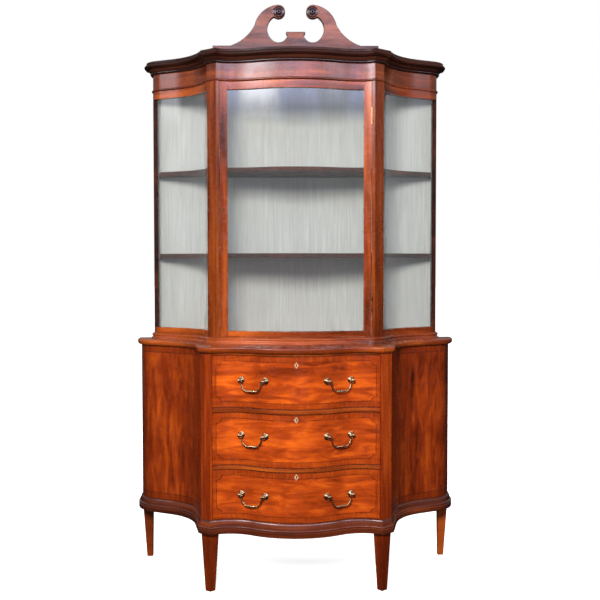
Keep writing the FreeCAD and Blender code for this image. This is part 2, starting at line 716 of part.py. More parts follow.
def leaf(z0, side):
    """Hinge leaf plate on the door's side (-1) or the post's side (+1) of the axis."""
    x = HINGE_X + side * (0.6 + LEAF / 2.0)
    return slab(x - LEAF / 2.0, x + LEAF / 2.0, HINGE_REACH - LEAF_DEPTH, HINGE_REACH, z0, z0 + HINGE_HEIGHT)


def hinge_recess(z0, side):
    """Room cut in the timber for one leaf and the barrel."""
    barrel = knuckle(z0 - 0.4, z0 + HINGE_HEIGHT + 0.4, KNUCKLE_R + 0.4)
    x0 = HINGE_X + side * (0.6 + LEAF)
    gap = slab(min(x0, HINGE_X), max(x0, HINGE_X), HINGE_REACH - LEAF_DEPTH, HINGE_REACH,
               z0, z0 + HINGE_HEIGHT)
    return barrel.fuse(gap)


def hinge_fixed(z0):
    ends = [knuckle(z0, z0 + 19.5, KNUCKLE_R), knuckle(z0 + 40.5, z0 + HINGE_HEIGHT, KNUCKLE_R)]
    plate = leaf(z0, 1.0).cut(knuckle(z0 + 19.5, z0 + 40.5, KNUCKLE_R + 0.4))
    pin = knuckle(z0, z0 + HINGE_HEIGHT, 1.6)
    return plate.fuse(ends + [pin]).removeSplitter()


def hinge_moving(z0):
    middle = knuckle(z0 + 20.0, z0 + 40.0, KNUCKLE_R)
    plate = leaf(z0, -1.0)
    plate = plate.cut([knuckle(z0 - 1.0, z0 + 20.0, KNUCKLE_R + 0.4),
                       knuckle(z0 + 40.0, z0 + HINGE_HEIGHT + 1.0, KNUCKLE_R + 0.4)])
    bore = knuckle(z0, z0 + HINGE_HEIGHT, 1.6 + RUNNING)
    return plate.fuse(middle).cut(bore).removeSplitter()


def hinged_case_posts():
    bolt_hole = door_bolt_box(0.5).fuse(
        door_bolt_box(0.5).translated(Vector(-BOLT_THROW - 4.0, 0, 0)))
    return case_posts().cut([hinge_recess(z, 1.0) for z in HINGE_BOTTOMS] + [bolt_hole])


def door_bolt_box(clearance):
    """Block at the door lock's bolt, wider by the clearance on each side."""
    return slab(-DOOR_X - clearance, -DOOR_X + 15.0 + clearance, DOOR_LOCK_FACE - 19.0 - clearance,
                DOOR_LOCK_FACE - 14.0 + clearance, DOOR_LOCK_Z - 8.0 - clearance,
                DOOR_LOCK_Z + 8.0 + clearance)


def door_lock_pocket():
    return slab(-DOOR_X, -SIGHT_X - GLASS_REBATE, DOOR_LOCK_FACE - 35.0, DOOR_LOCK_FACE - 12.0,
                DOOR_LOCK_Z - 26.0, DOOR_LOCK_Z + 26.0)


def door_keyhole():
    z = DOOR_LOCK_Z
    start = at(DOOR_LOCK_X, DOOR_LOCK_FACE + 5.0, z + 2.0)
    barrel = Part.makeCylinder(3.6, 17.0, start, Vector(0, 1, 0))
    tail = slab(DOOR_LOCK_X - 2.2, DOOR_LOCK_X + 2.2, DOOR_LOCK_FACE - 12.0, DOOR_LOCK_FACE + 5.0,
                z - 7.0, z + 2.0)
    return barrel.fuse(tail)


def door_escutcheon():
    """Thread escutcheon: a brass lining of the keyhole, flush with the stile."""
    z = DOOR_LOCK_Z
    start = at(DOOR_LOCK_X, DOOR_LOCK_FACE + 5.0, z + 2.0)
    hole = Part.makeCylinder(2.4, 17.0, start, Vector(0, 1, 0)).fuse(
        slab(DOOR_LOCK_X - 1.1, DOOR_LOCK_X + 1.1, DOOR_LOCK_FACE - 12.0, DOOR_LOCK_FACE + 5.0, z - 6.0, z + 2.0))
    ring = door_keyhole().cut(hole)
    return ring.common(mirrored(door_strip(SIGHT_X, DOOR_X, 0.0, 4.0, z - 20.0, z + 20.0)))


def door_lock():
    case = slab(-DOOR_X, -SIGHT_X - GLASS_REBATE, DOOR_LOCK_FACE - 21.0, DOOR_LOCK_FACE - 12.0,
                DOOR_LOCK_Z - 26.0, DOOR_LOCK_Z + 26.0)
    return case.cut(door_bolt_box(0.3))


# ---- all the pieces ---------------------------------------------------------------------
def drawer_nodes():
    nodes = {}
    for name, opening, handle_z, key_z in zip(DRAWER_NAMES, DRAWER_OPENINGS, HANDLE_HEIGHTS, KEYHOLE_HEIGHTS):
        bosses, diamond = handle_bosses(handle_z), escutcheon(key_z)
        fittings = bosses.Solids + [diamond, lock_pocket(opening)]
        nodes["drawer_front_" + name] = drawer_front(opening, key_z, fittings)
        nodes["drawer_box_" + name] = drawer_box(opening)
        nodes["escutcheon_" + name] = diamond
        nodes["handle_bosses_" + name] = bosses
        nodes["bail_" + name + "_right"] = bail(handle_z)
        nodes["bail_" + name + "_left"] = mirrored(bail(handle_z))
        nodes["drawer_lock_" + name] = drawer_lock(opening)
        nodes["drawer_bolt_" + name] = drawer_bolt(opening)
    return nodes


def base_nodes():
    return {
        "front_posts": front_posts(),
        "rear_legs": rear_legs(),
        "base_moulding": base_moulding(),
        "base_floor": base_floor(),
        "base_side_right": base_side(),
        "base_side_left": mirrored(base_side()),
        "base_back": base_back(),
        "base_top": base_top(),
        "drawer_rails": drawer_rails(),
        "drawer_runners": drawer_runners(),
        "drawer_partitions": drawer_partitions(),
    }


def case_nodes():
    return {
        "plinth_moulding": plinth_moulding(),
        "case_floor": case_floor(),
        "case_posts": hinged_case_posts(),
        "case_rear_stiles": rear_stiles(),
        "case_side_rails": side_rails(),
        "side_glass_right": side_glass(),
        "side_glass_left": mirrored(side_glass()),
        "frieze": frieze(),
        "cornice": cornice(),
        "case_top": case_top(),
        "case_back": case_back(),
        "back_lining": back_lining(),
        "shelf_lower": shelf(SHELF_TOPS[0]),
        "shelf_upper": shelf(SHELF_TOPS[1]),
        "shelf_supports": shelf_supports(),
        "pediment": pediment(),
        "rosettes": rosettes(),
    }


def door_nodes():
    return {
        "door_stiles": door_stiles(),
        "door_rails": door_rails(),
        "door_glass": door_glass(),
        "hinge_fixed_leaves": Part.makeCompound([hinge_fixed(z) for z in HINGE_BOTTOMS]),
        "hinge_door_leaves": Part.makeCompound([hinge_moving(z) for z in HINGE_BOTTOMS]),
        "door_lock": door_lock(),
        "door_bolt": door_bolt_box(0.0),
        "door_escutcheon": door_escutcheon(),
    }


def solids_only(shape):
    return shape.Solids[0] if len(shape.Solids) == 1 else Part.makeCompound(shape.Solids)


def main():
    nodes = {**base_nodes(), **drawer_nodes(), **case_nodes(), **door_nodes()}
    for name, shape in nodes.items():
        solids_only(shape).exportStep("parts/" + name + ".step")
        print(name, len(shape.Solids), "solids", "valid" if shape.isValid() else "NOT VALID")
    print(len(nodes), "nodes; hinge axis", HINGE_X, BACK_Y - HINGE_REACH)
    place = HandlePlace(HANDLE_HEIGHTS[0])
    print("right handle middle", place.middle, "chord", place.chord)


main()
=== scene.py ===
"""Looks of the serpentine display cabinet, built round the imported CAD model."""

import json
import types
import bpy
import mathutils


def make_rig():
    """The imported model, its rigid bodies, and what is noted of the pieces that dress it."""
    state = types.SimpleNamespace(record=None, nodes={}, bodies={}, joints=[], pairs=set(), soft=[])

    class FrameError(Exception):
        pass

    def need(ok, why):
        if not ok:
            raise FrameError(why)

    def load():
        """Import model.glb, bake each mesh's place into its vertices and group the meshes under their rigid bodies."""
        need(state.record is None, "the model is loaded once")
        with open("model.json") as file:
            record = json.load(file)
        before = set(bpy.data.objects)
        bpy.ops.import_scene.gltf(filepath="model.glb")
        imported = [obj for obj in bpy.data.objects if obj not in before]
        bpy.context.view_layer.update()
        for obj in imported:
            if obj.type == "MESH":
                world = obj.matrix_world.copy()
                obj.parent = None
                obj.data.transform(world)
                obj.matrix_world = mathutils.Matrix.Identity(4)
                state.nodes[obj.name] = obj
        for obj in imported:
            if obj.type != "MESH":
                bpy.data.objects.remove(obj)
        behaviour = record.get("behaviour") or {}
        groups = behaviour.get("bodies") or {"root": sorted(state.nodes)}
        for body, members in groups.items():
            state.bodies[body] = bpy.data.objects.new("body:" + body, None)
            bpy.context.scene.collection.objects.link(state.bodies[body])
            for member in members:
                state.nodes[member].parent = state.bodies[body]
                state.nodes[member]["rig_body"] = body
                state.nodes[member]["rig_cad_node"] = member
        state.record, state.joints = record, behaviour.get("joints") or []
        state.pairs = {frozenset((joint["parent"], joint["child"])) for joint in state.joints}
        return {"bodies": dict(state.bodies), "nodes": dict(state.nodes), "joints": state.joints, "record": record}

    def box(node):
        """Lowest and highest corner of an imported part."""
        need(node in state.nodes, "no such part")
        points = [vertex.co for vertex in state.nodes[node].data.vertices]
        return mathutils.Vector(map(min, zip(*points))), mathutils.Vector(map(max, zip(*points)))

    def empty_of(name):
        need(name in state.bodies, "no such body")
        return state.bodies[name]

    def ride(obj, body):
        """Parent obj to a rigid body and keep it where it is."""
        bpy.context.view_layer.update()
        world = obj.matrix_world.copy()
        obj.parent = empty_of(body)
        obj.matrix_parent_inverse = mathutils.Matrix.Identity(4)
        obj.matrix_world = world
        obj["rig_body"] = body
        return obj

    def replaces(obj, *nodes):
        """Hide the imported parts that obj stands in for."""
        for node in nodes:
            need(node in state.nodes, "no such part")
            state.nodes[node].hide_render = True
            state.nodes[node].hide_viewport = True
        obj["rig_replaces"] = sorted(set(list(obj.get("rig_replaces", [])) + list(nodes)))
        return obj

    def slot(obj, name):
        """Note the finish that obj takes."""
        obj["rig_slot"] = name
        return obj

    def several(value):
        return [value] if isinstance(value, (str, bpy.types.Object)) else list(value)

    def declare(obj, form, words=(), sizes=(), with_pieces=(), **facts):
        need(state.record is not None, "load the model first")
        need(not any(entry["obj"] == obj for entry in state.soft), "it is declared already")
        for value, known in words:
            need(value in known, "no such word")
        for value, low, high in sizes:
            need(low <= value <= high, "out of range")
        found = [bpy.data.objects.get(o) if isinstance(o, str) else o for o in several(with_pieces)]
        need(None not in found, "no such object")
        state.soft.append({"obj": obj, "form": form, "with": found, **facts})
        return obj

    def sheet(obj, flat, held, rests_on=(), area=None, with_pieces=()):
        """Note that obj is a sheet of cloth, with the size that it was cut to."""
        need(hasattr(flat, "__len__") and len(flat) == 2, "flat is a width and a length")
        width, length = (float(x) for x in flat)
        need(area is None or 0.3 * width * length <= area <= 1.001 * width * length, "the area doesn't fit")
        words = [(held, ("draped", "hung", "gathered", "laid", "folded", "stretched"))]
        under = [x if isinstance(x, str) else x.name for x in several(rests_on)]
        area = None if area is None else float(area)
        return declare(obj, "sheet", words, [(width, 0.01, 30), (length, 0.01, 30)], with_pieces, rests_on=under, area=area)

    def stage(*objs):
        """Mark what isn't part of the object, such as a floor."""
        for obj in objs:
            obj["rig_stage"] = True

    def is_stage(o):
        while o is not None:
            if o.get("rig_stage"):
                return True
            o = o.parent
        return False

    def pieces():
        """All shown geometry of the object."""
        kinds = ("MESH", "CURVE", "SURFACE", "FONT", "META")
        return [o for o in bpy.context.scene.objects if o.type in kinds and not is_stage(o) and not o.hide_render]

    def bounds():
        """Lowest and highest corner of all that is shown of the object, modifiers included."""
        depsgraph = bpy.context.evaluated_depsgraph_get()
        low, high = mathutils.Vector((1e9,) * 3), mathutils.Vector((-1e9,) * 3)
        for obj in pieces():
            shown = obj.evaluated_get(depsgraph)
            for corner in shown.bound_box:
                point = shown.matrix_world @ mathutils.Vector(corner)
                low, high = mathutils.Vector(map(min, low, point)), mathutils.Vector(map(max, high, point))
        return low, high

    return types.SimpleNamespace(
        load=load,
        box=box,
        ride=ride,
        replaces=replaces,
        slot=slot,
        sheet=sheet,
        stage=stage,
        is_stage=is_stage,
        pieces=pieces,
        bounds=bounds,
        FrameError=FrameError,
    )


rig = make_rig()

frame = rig.load()
cad_box = [list(corner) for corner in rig.bounds()]

import json
import math

import bmesh
import bpy
import numpy as np
from mathutils import Matrix, Vector, noise

MM = 0.001
BACK_Y = 261.0              # wall plane behind the cabinet, mm
DRAWERS = {                 # opening z0, opening z1, handle z
    "bottom": (254.0, 433.0, 345.0),
    "middle": (446.0, 635.0, 555.0),
    "top": (650.0, 837.0, 748.5),
}
DRAWER_GAP = 1.0            # left above and below a drawer front in its opening
CARCASS = 15.0              # inset of the base carcass from its mouldings
CARCASS_BOTTOM, CARCASS_TOP = 254.0, 845.0
BASE_ARRIS_X, CASE_ARRIS_X = 304.0, 287.0   # outer arris of the front posts, base and case
BASE_POST_FACE = 57.0       # width of a base post's canted face
DRAWER_END_X = 294.2        # half width of a drawer front
SIDE_BACK = (600.0, 38.0)   # x and reach where a base side panel ends at the rear leg
SIDE_SLOPE = 27.0           # angle of both cabinets' sides where hollow turns to bow, degrees
SAMPLE_STEP = 6.0           # spacing of points along a plan outline
FINE_STEP = 3.0             # the same, for measuring along it


# ---- plan outlines ----------------------------------------------------------------------
class Outline:
    """Right half of a plan outline in (x, reach from the wall), with exact offsets, mm."""

    def __init__(self, reach):
        self.x, self.reach, self.turned, self.parts = 0.0, reach, 0.0, []

    def straight(self, length):
        a = math.radians(self.turned)
        self.parts.append(("line", self.x, self.reach, a, 0.0, length))
        self.x += length * math.cos(a)
        self.reach -= length * math.sin(a)

    def bend(self, radius, to_angle):
        a, b = math.radians(self.turned), math.radians(to_angle)
        signed = radius if b > a else -radius
        cx, cr = self.x - signed * math.sin(a), self.reach - signed * math.cos(a)
        self.parts.append(("arc", cx, cr, signed, a, b))
        self.x, self.reach, self.turned = cx + signed * math.sin(b), cr + signed * math.cos(b), to_angle

    def corner(self, to_angle):
        self.turned = to_angle

    @staticmethod
    def point(part, t, out):
        kind, x, r, k = part[:4]
        if kind == "line":
            return x + t * math.cos(k) + out * math.sin(k), r - t * math.sin(k) + out * math.cos(k)
        return x + (k + out) * math.sin(t), r + (k + out) * math.cos(t)

    @staticmethod
    def slope(part, t, out):
        kind, k = part[0], part[3]
        if kind == "line":
            return math.cos(k), -math.sin(k)
        return (k + out) * math.cos(t), -(k + out) * math.sin(t)

    @staticmethod
    def heading(part, t):
        return part[3] if part[0] == "line" else t

    def spans(self, out):
        """Parameter range of each part once the outline is offset, corners kept sharp."""
        spans = [[p[4], p[5]] for p in self.parts]
        for i, (p, q) in enumerate(zip(self.parts, self.parts[1:])):
            if abs(self.heading(p, p[5]) - self.heading(q, q[4])) < 1e-6:
                continue
            u, v = p[5], q[4]
            for _ in range(12):
                (ax, ar), (bx, br) = self.point(p, u, out), self.point(q, v, out)
                (ux, ur), (vx, vr) = self.slope(p, u, out), self.slope(q, v, out)
                ex, er, det = bx - ax, br - ar, vx * ur - ux * vr
                u += (vx * er - ex * vr) / det
                v += (ux * er - ur * ex) / det
            spans[i][1], spans[i + 1][0] = u, v
        return spans

    def half(self, inset=0.0, step=SAMPLE_STEP):
        points = [(0.0, self.point(self.parts[0], self.parts[0][4], -inset)[1])]
        for p, (t0, t1) in zip(self.parts, self.spans(-inset)):
            length = (p[5] - p[4]) * (1.0 if p[0] == "line" else abs(p[3]))
            n = max(2, math.ceil(abs(length) / step))
            points += [self.point(p, t0 + (t1 - t0) * k / n, -inset) for k in range(1, n + 1)]
        return points + [(points[-1][0], 0.0)]

    def ring(self, inset=0.0, step=SAMPLE_STEP):
        """Both halves from the wall at the left round to the wall at the right."""
        right = self.half(inset, step)
        return [(-x, r) for x, r in right[:0:-1]] + right

    def along(self, points):
        """Distance along the outline, from its middle, of the place nearest each point."""
        ring = np.array(self.ring(0.0, FINE_STEP))
        a, d = ring[:-1], np.diff(ring, axis=0)
        size = np.hypot(d[:, 0], d[:, 1])
        start = np.concatenate([[0.0], np.cumsum(size)])
        start -= start[-1] / 2.0
        p = np.asarray(points, float)[:, None, :]
        t = np.clip(((p - a) * d).sum(2) / size ** 2, 0.0, 1.0)
        gap = ((p - a - t[..., None] * d) ** 2).sum(2)
        j = gap.argmin(1)
        i = np.arange(len(j))
        return start[j] + t[i, j] * size[j]


def side(o, hollow, bow, half_width):
    """The hollow side and the bow that brings it square to the wall."""
    a = math.radians(SIDE_SLOPE)
    o.bend(hollow, SIDE_SLOPE)
    o.straight((half_width - o.x - bow * (1.0 - math.sin(a))) / math.cos(a))
    o.bend(bow, 90.0)


def front(o, bow, hollow, hollow_end, lip, lip_length, post_turn, post_width):
    """From the middle: bow, hollow, the lip that turns forward again, and the canted post."""
    o.bend(bow, math.degrees(math.asin(hollow_end / (bow + hollow))))
    o.bend(hollow, 0.0)
    o.bend(lip, -math.degrees(math.asin(lip_length / lip)))
    o.corner(post_turn)
    o.straight(post_width)


def base_outline():
    o = Outline(522.0)
    front(o, bow=292.0, hollow=141.0, hollow_end=234.0, lip=111.0, lip_length=70.0, post_turn=41.0,
          post_width=56.0)
    o.corner(79.0)
    o.straight(119.0)
    side(o, hollow=201.0, bow=126.0, half_width=615.0)
    return o


def case_outline(side_back):
    """The side leaves the post at the angle that brings its end to side_back from the wall."""
    o = Outline(350.0)
    front(o, bow=372.0, hollow=217.0, hollow_end=237.0, lip=84.0, lip_length=50.0, post_turn=41.0,
          post_width=46.0)
    hollow, bow, half_width = 266.0, 61.0, 550.0
    slope = math.radians(SIDE_SLOPE)
    rise = o.reach - side_back - bow * math.cos(slope)
    run = half_width - o.x - bow * (1.0 - math.sin(slope))
    low, high = slope, math.radians(89.0)
    for _ in range(60):
        a = (low + high) / 2.0
        dx, dr = hollow * (math.sin(a) - math.sin(slope)), hollow * (math.cos(slope) - math.cos(a))
        if dr + (run - dx) * math.tan(slope) < rise:
            low = a
        else:
            high = a
    o.corner(math.degrees(a))
    side(o, hollow, bow, half_width)
    return o


BASE = base_outline()
CASE = case_outline(BASE.reach)


def reach_at(outline, inset, x):
    """Distance from the wall of the inset outline's front point at x."""
    ring = outline.half(inset, 1.0)
    for (x0, r0), (x1, r1) in zip(ring, ring[1:]):
        if x0 <= x <= x1:
            return r0 + (r1 - r0) * (x - x0) / (x1 - x0)


def s_at(outline, x):
    """Distance along the outline of the front point at x."""
    return float(outline.along([(x, reach_at(outline, 0.0, abs(x)))])[0])


# ---- materials --------------------------------------------------------------------------
class Paint:
    """A material's node tree, with short calls for the nodes it uses."""

    def __init__(self, name):
        self.material = bpy.data.materials.new(name)
        self.material.use_nodes = True
        self.tree = self.material.node_tree
        self.tree.nodes.clear()
        self.output = self.tree.nodes.new("ShaderNodeOutputMaterial")

    def put(self, socket, value):
        if isinstance(value, bpy.types.NodeSocket):
            self.tree.links.new(value, socket)
        elif value is not None:
            if isinstance(value, tuple) and len(value) == 3 and len(socket.default_value) == 4:
                value = (*value, 1.0)
            socket.default_value = value

    def add(self, kind, inputs=(), **properties):
        node = self.tree.nodes.new(kind)
        for key, value in properties.items():
            setattr(node, key, value)
        for key, value in dict(inputs).items():
            self.put(node.inputs[key], value)
        return node

    def calc(self, operation, a, b=None):
        return self.add("ShaderNodeMath", {0: a, 1: b}, operation=operation).outputs[0]

    def span(self, value, a, b, to0=0.0, to1=1.0):
        """Maps value from a..b to to0..to1 with soft ends."""
        return self.add("ShaderNodeMapRange", {0: value, 1: a, 2: b, 3: to0, 4: to1},
                        interpolation_type="SMOOTHSTEP").outputs[0]

    def mix(self, factor, a, b, blend="MIX"):
        node = self.tree.nodes.new("ShaderNodeMix")
        node.data_type, node.blend_type = "RGBA", blend
        self.put(node.inputs[0], factor)
        self.put(node.inputs[6], a)
        self.put(node.inputs[7], b)
        return node.outputs[2]

    def noise(self, vector, scale, detail=3.0, rough=0.5, bend=0.0):
        return self.add("ShaderNodeTexNoise", {"Vector": vector, "Scale": scale, "Detail": detail,
                                               "Roughness": rough, "Distortion": bend}).outputs["Fac"]

    def place(self, vector, scale, location=(0.0, 0.0, 0.0), turn=0.0):
        return self.add("ShaderNodeMapping", {"Vector": vector, "Scale": scale, "Location": location,
                                              "Rotation": (0.0, 0.0, turn)}).outputs[0]

    def ramp(self, factor, stops):
        node = self.add("ShaderNodeValToRGB", {0: factor})
        ramp = node.color_ramp
        while len(ramp.elements) < len(stops):
            ramp.elements.new(0.5)
        for element, (position, colour) in zip(ramp.elements, stops):
            element.position, element.color = position, (*colour, 1.0)
        return node.outputs[0]

    def uv(self, name):
        return self.add("ShaderNodeUVMap", uv_map=name).outputs[0]

    def split(self, vector):
        return self.add("ShaderNodeSeparateXYZ", {0: vector}).outputs

    def merge(self, x, y):
        return self.add("ShaderNodeCombineXYZ", {0: x, 1: y}).outputs[0]

    def blend(self, a, b, share):
        """a and b added together, b's share against a's."""
        return self.calc("ADD", self.calc("MULTIPLY", a, 1.0 - share), self.calc("MULTIPLY", b, share))

    def shade(self, colour, roughness, bump=None, height=0.0003, **extra):
        settings = {"Base Color": colour, "Roughness": roughness}
        settings.update({key.replace("_", " "): value for key, value in extra.items()})
        if bump is not None:
            settings["Normal"] = self.add("ShaderNodeBump", {"Height": bump, "Distance": height,
                                                             "Strength": 1.0}).outputs[0]
        shader = self.add("ShaderNodeBsdfPrincipled", settings).outputs[0]
        self.tree.links.new(shader, self.output.inputs[0])
        return self.material


# Each timber's dark, middle and light tone.
MAHOGANY = ((0.048, 0.0072, 0.0018), (0.196, 0.0304, 0.0044), (0.4, 0.08, 0.0096))
FLAME = ((0.085, 0.0095, 0.0016), (0.345, 0.043, 0.0038), (0.70, 0.118, 0.008))
SIDE = ((0.040, 0.0050, 0.0012), (0.200, 0.0230, 0.0026), (0.40, 0.062, 0.0050))
POST = ((0.048, 0.0056, 0.0012), (0.205, 0.0225, 0.0022), (0.39, 0.056, 0.0050))
CASE_POST = ((0.034, 0.0052, 0.0012), (0.135, 0.0205, 0.0024), (0.26, 0.048, 0.0050))
BROWN = ((0.030, 0.0080, 0.0034), (0.140, 0.0360, 0.0130), (0.28, 0.082, 0.030))
FRIEZE = ((0.040, 0.0070, 0.0024), (0.150, 0.0270, 0.0060), (0.33, 0.072, 0.014))
RED = ((0.024, 0.0055, 0.0028), (0.105, 0.0190, 0.0060), (0.230, 0.045, 0.011))
DARK = ((0.009, 0.0030, 0.0020), (0.026, 0.0065, 0.0034), (0.060, 0.014, 0.0056))
# Colour of the dark inlaid lines; the same colour is also painted shade at the edges of crossbanded panels.
INLAY_AND_GAP_SHADE = (0.022, 0.006, 0.003)


def figured(p, flat, base, grain, flame, seed):
    """The timber's pattern from 0 to 1: plain grain, with flame as a share of swirling crests."""
    broad = p.noise(base, 9.0, 3.0, 0.55, 0.6)
    streak = p.noise(base, 46.0, 4.0, 0.6, 0.3)
    figure = p.blend(broad, streak, 0.38)
    if flame:
        stretch = (6.0, 0.9, 1.0) if grain == "z" else (1.1, 5.0, 1.0)
        swirl = p.noise(p.place(flat, stretch, (seed * 3.0, seed, 0.0)), 7.0, 5.0, 0.60, 1.1)
        cloud = p.noise(p.place(flat, (1.0, 1.0, 1.0), (seed, seed * 2.0, 0.0)), 7.0, 3.0, 0.55, 0.6)
        figure = p.blend(figure, p.blend(swirl, cloud, 0.32), flame)
    return figure


def crossbanded(p, flat, colour, tones, width, notch):
    """Colour with a crossbanded border of that width, and the distance from the border's line.
    The line's corners are hollowed by notch, and the panel's outer 5 mm is darkened as painted shade of the gap round
    it."""
    left, right, _ = p.split(p.uv("edge_a"))
    bottom, top, _ = p.split(p.uv("edge_b"))
    beside, above = p.calc("MINIMUM", left, right), p.calc("MINIMUM", bottom, top)
    a, b = p.calc("SUBTRACT", beside, width), p.calc("SUBTRACT", above, width)
    inner = p.calc("MINIMUM", a, b)
    if notch:
        away = p.add("ShaderNodeVectorMath", {0: p.merge(a, b)}, operation="LENGTH").outputs["Value"]
        inner = p.calc("MINIMUM", inner, p.calc("SUBTRACT", away, notch))
    strips = p.noise(p.place(flat, (1.0, 0.06, 1.0)), 130.0, 3.0, 0.6, 0.2)
    cross = p.ramp(strips, [(0.20, tones[0]), (0.55, tones[1]), (0.95, tones[2])])
    cross = p.mix(0.60, cross, p.mix(1.0, colour, (0.74, 0.74, 0.80), "MULTIPLY"))
    colour = p.mix(p.span(inner, -0.0005, 0.0005, 1.0, 0.0), colour, cross)
    # Painted shade: the panel darkens towards its edges, where the gap round it is.
    gap_shade = p.span(p.calc("MINIMUM", beside, above), 0.0, 0.005, 0.70, 0.0)
    return p.mix(gap_shade, colour, INLAY_AND_GAP_SHADE), p.calc("ABSOLUTE", inner)


def wood(name, tones=MAHOGANY, grain="z", wrapped=True, flame=0.0, band=None, lines=(), gloss=0.24,
         coat=0.35, shine=0.42, seed=0.0, arris_shade=0.45, wear=1.0, leaf=None, painted_leg_shade=0.0):
    """Polished mahogany. Wrapped woods take their grain from distance along the plan outline
    and height. band is (width, notch) of a crossbanded border, lines are places of upright
    inlaid lines, leaf is the width of the veneer's leaves, and painted_leg_shade darkens the legs
    near the floor as painted shade. arris_shade darkens the marked arrises as painted shade,
    and wear lightens random spots of them as real wear."""
    p = Paint(name)
    if wrapped:
        u, v, _ = p.split(p.uv("wrap"))
        flat = p.merge(u, v)
        across = (1.0, 0.09, 1.0) if grain == "z" else (0.09, 1.0, 1.0)
    else:
        flat = p.add("ShaderNodeTexCoord").outputs["Object"]
        u, _, v = p.split(flat)
        across = (1.0, 1.0, 0.09) if grain == "z" else (0.09, 1.0, 1.0)
    base = p.place(flat, across, (seed, seed * 1.7, seed * 0.6))
    figure = figured(p, flat, base, grain, flame, seed)
    if leaf:
        joint = p.calc("DIVIDE", u, leaf)
        cell = p.add("ShaderNodeTexWhiteNoise", {"W": p.calc("FLOOR", joint)}, noise_dimensions="1D")
        figure = p.calc("ADD", figure, p.span(cell.outputs[0], 0.0, 1.0, -0.025, 0.025))
    colour = p.ramp(figure, [(0.36, tones[0]), (0.50, tones[1]), (0.63, tones[2])])
    if leaf:
        seam = p.span(p.calc("PINGPONG", joint, 0.5), 0.0, 0.012, 1.0, 0.0)
        colour = p.mix(p.calc("MULTIPLY", seam, 0.7), colour, tones[0])
    pores = p.span(p.noise(base, 420.0, 2.0, 0.6), 0.60, 0.72)
    colour = p.mix(p.calc("MULTIPLY", pores, 0.35), colour, tones[0])
    swell = p.calc("MULTIPLY", p.noise(flat, 7.0, 2.0), 1.1)
    height = p.calc("ADD", p.calc("MULTIPLY", pores, -0.25), swell)
    marks = [p.calc("ABSOLUTE", p.calc("SUBTRACT", p.calc("ABSOLUTE", u), line)) for line in lines]
    if band:
        colour, border = crossbanded(p, flat, colour, tones, *band)
        marks.append(border)
    for mark in marks:
        colour = p.mix(p.span(mark, 0.0006, 0.0013, 0.80, 0.0), colour, INLAY_AND_GAP_SHADE)
    # Painted shade: the legs darken below about 0.2 m, towards the floor.
    if painted_leg_shade:
        colour = p.mix(p.span(v, 0.16, 0.24, painted_leg_shade, 0.0), colour, tones[0])
    # Marked arrises: darkened as painted shade, with random lighter spots of real wear.
    edge = p.add("ShaderNodeAttribute", attribute_name="edge").outputs["Fac"]
    worn = p.span(p.noise(flat, 60.0, 3.0), 0.5, 0.68, 0.0, wear)
    arris_shade_and_wear = p.mix(worn, p.mix(1.0, colour, (1.0 - arris_shade,) * 3, "MULTIPLY"), tones[2])
    colour = p.mix(edge, colour, arris_shade_and_wear)
    rough = p.span(p.noise(flat, 22.0, 4.0), 0.3, 0.7, gloss - 0.05, gloss + 0.10)
    return p.shade(colour, rough, height, 0.00025, Coat_Weight=coat, Coat_Roughness=0.10,
                   Specular_IOR_Level=shine)


def plain_wood(name, tones, scale=1.0):
    """Bare secondary timber, from its dark, light and stained tones."""
    p = Paint(name)
    flat = p.add("ShaderNodeTexCoord").outputs["Object"]
    base = p.place(flat, (0.08, 1.0, 1.0))
    rings = p.noise(base, 30.0 * scale, 4.0, 0.6, 0.8)
    pores = p.noise(base, 300.0, 2.0)
    colour = p.ramp(rings, [(0.32, tones[0]), (0.68, tones[1])])
    colour = p.mix(p.span(pores, 0.6, 0.75, 0.0, 0.4), colour, tones[2])
    stain = p.span(p.noise(flat, 5.0, 3.0), 0.45, 0.7, 0.0, 0.3)
    colour = p.mix(stain, colour, tones[2])
    return p.shade(colour, p.span(rings, 0.3, 0.7, 0.60, 0.72), pores, 0.0002)


def brass_paint(name, bright, dull):
    """Old brass, with patches of dull patina."""
    p = Paint(name)
    flat = p.add("ShaderNodeTexCoord").outputs["Object"]
    patina = p.noise(flat, 160.0, 4.0, 0.6, 0.5)
    spots = p.noise(flat, 700.0, 2.0)
    colour = p.mix(p.span(patina, 0.42, 0.72, 0.0, 0.85), bright, dull)
    rough = p.span(patina, 0.3, 0.75, 0.20, 0.44)
    return p.shade(colour, rough, spots, 0.00004, Metallic=1.0)


def bone_paint():
    """Aged bone with a fine streak."""
    p = Paint("bone")
    flat = p.add("ShaderNodeTexCoord").outputs["Object"]
    streak = p.noise(p.place(flat, (1.0, 1.0, 0.2)), 900.0, 3.0)
    colour = p.ramp(streak, [(0.3, (0.32, 0.185, 0.110)), (0.65, (0.62, 0.370, 0.240))])
    return p.shade(colour, p.span(streak, 0.3, 0.7, 0.55, 0.68), streak, 0.00003)


def steel_paint():
    """Old steel with a little rust."""
    p = Paint("old_steel")
    flat = p.add("ShaderNodeTexCoord").outputs["Object"]
    rust = p.noise(flat, 240.0, 4.0)
    colour = p.mix(p.span(rust, 0.5, 0.7, 0.0, 0.7), (0.34, 0.33, 0.32), (0.12, 0.06, 0.035))
    return p.shade(colour, p.span(rust, 0.3, 0.7, 0.32, 0.6), rust, 0.00003, Metallic=1.0)


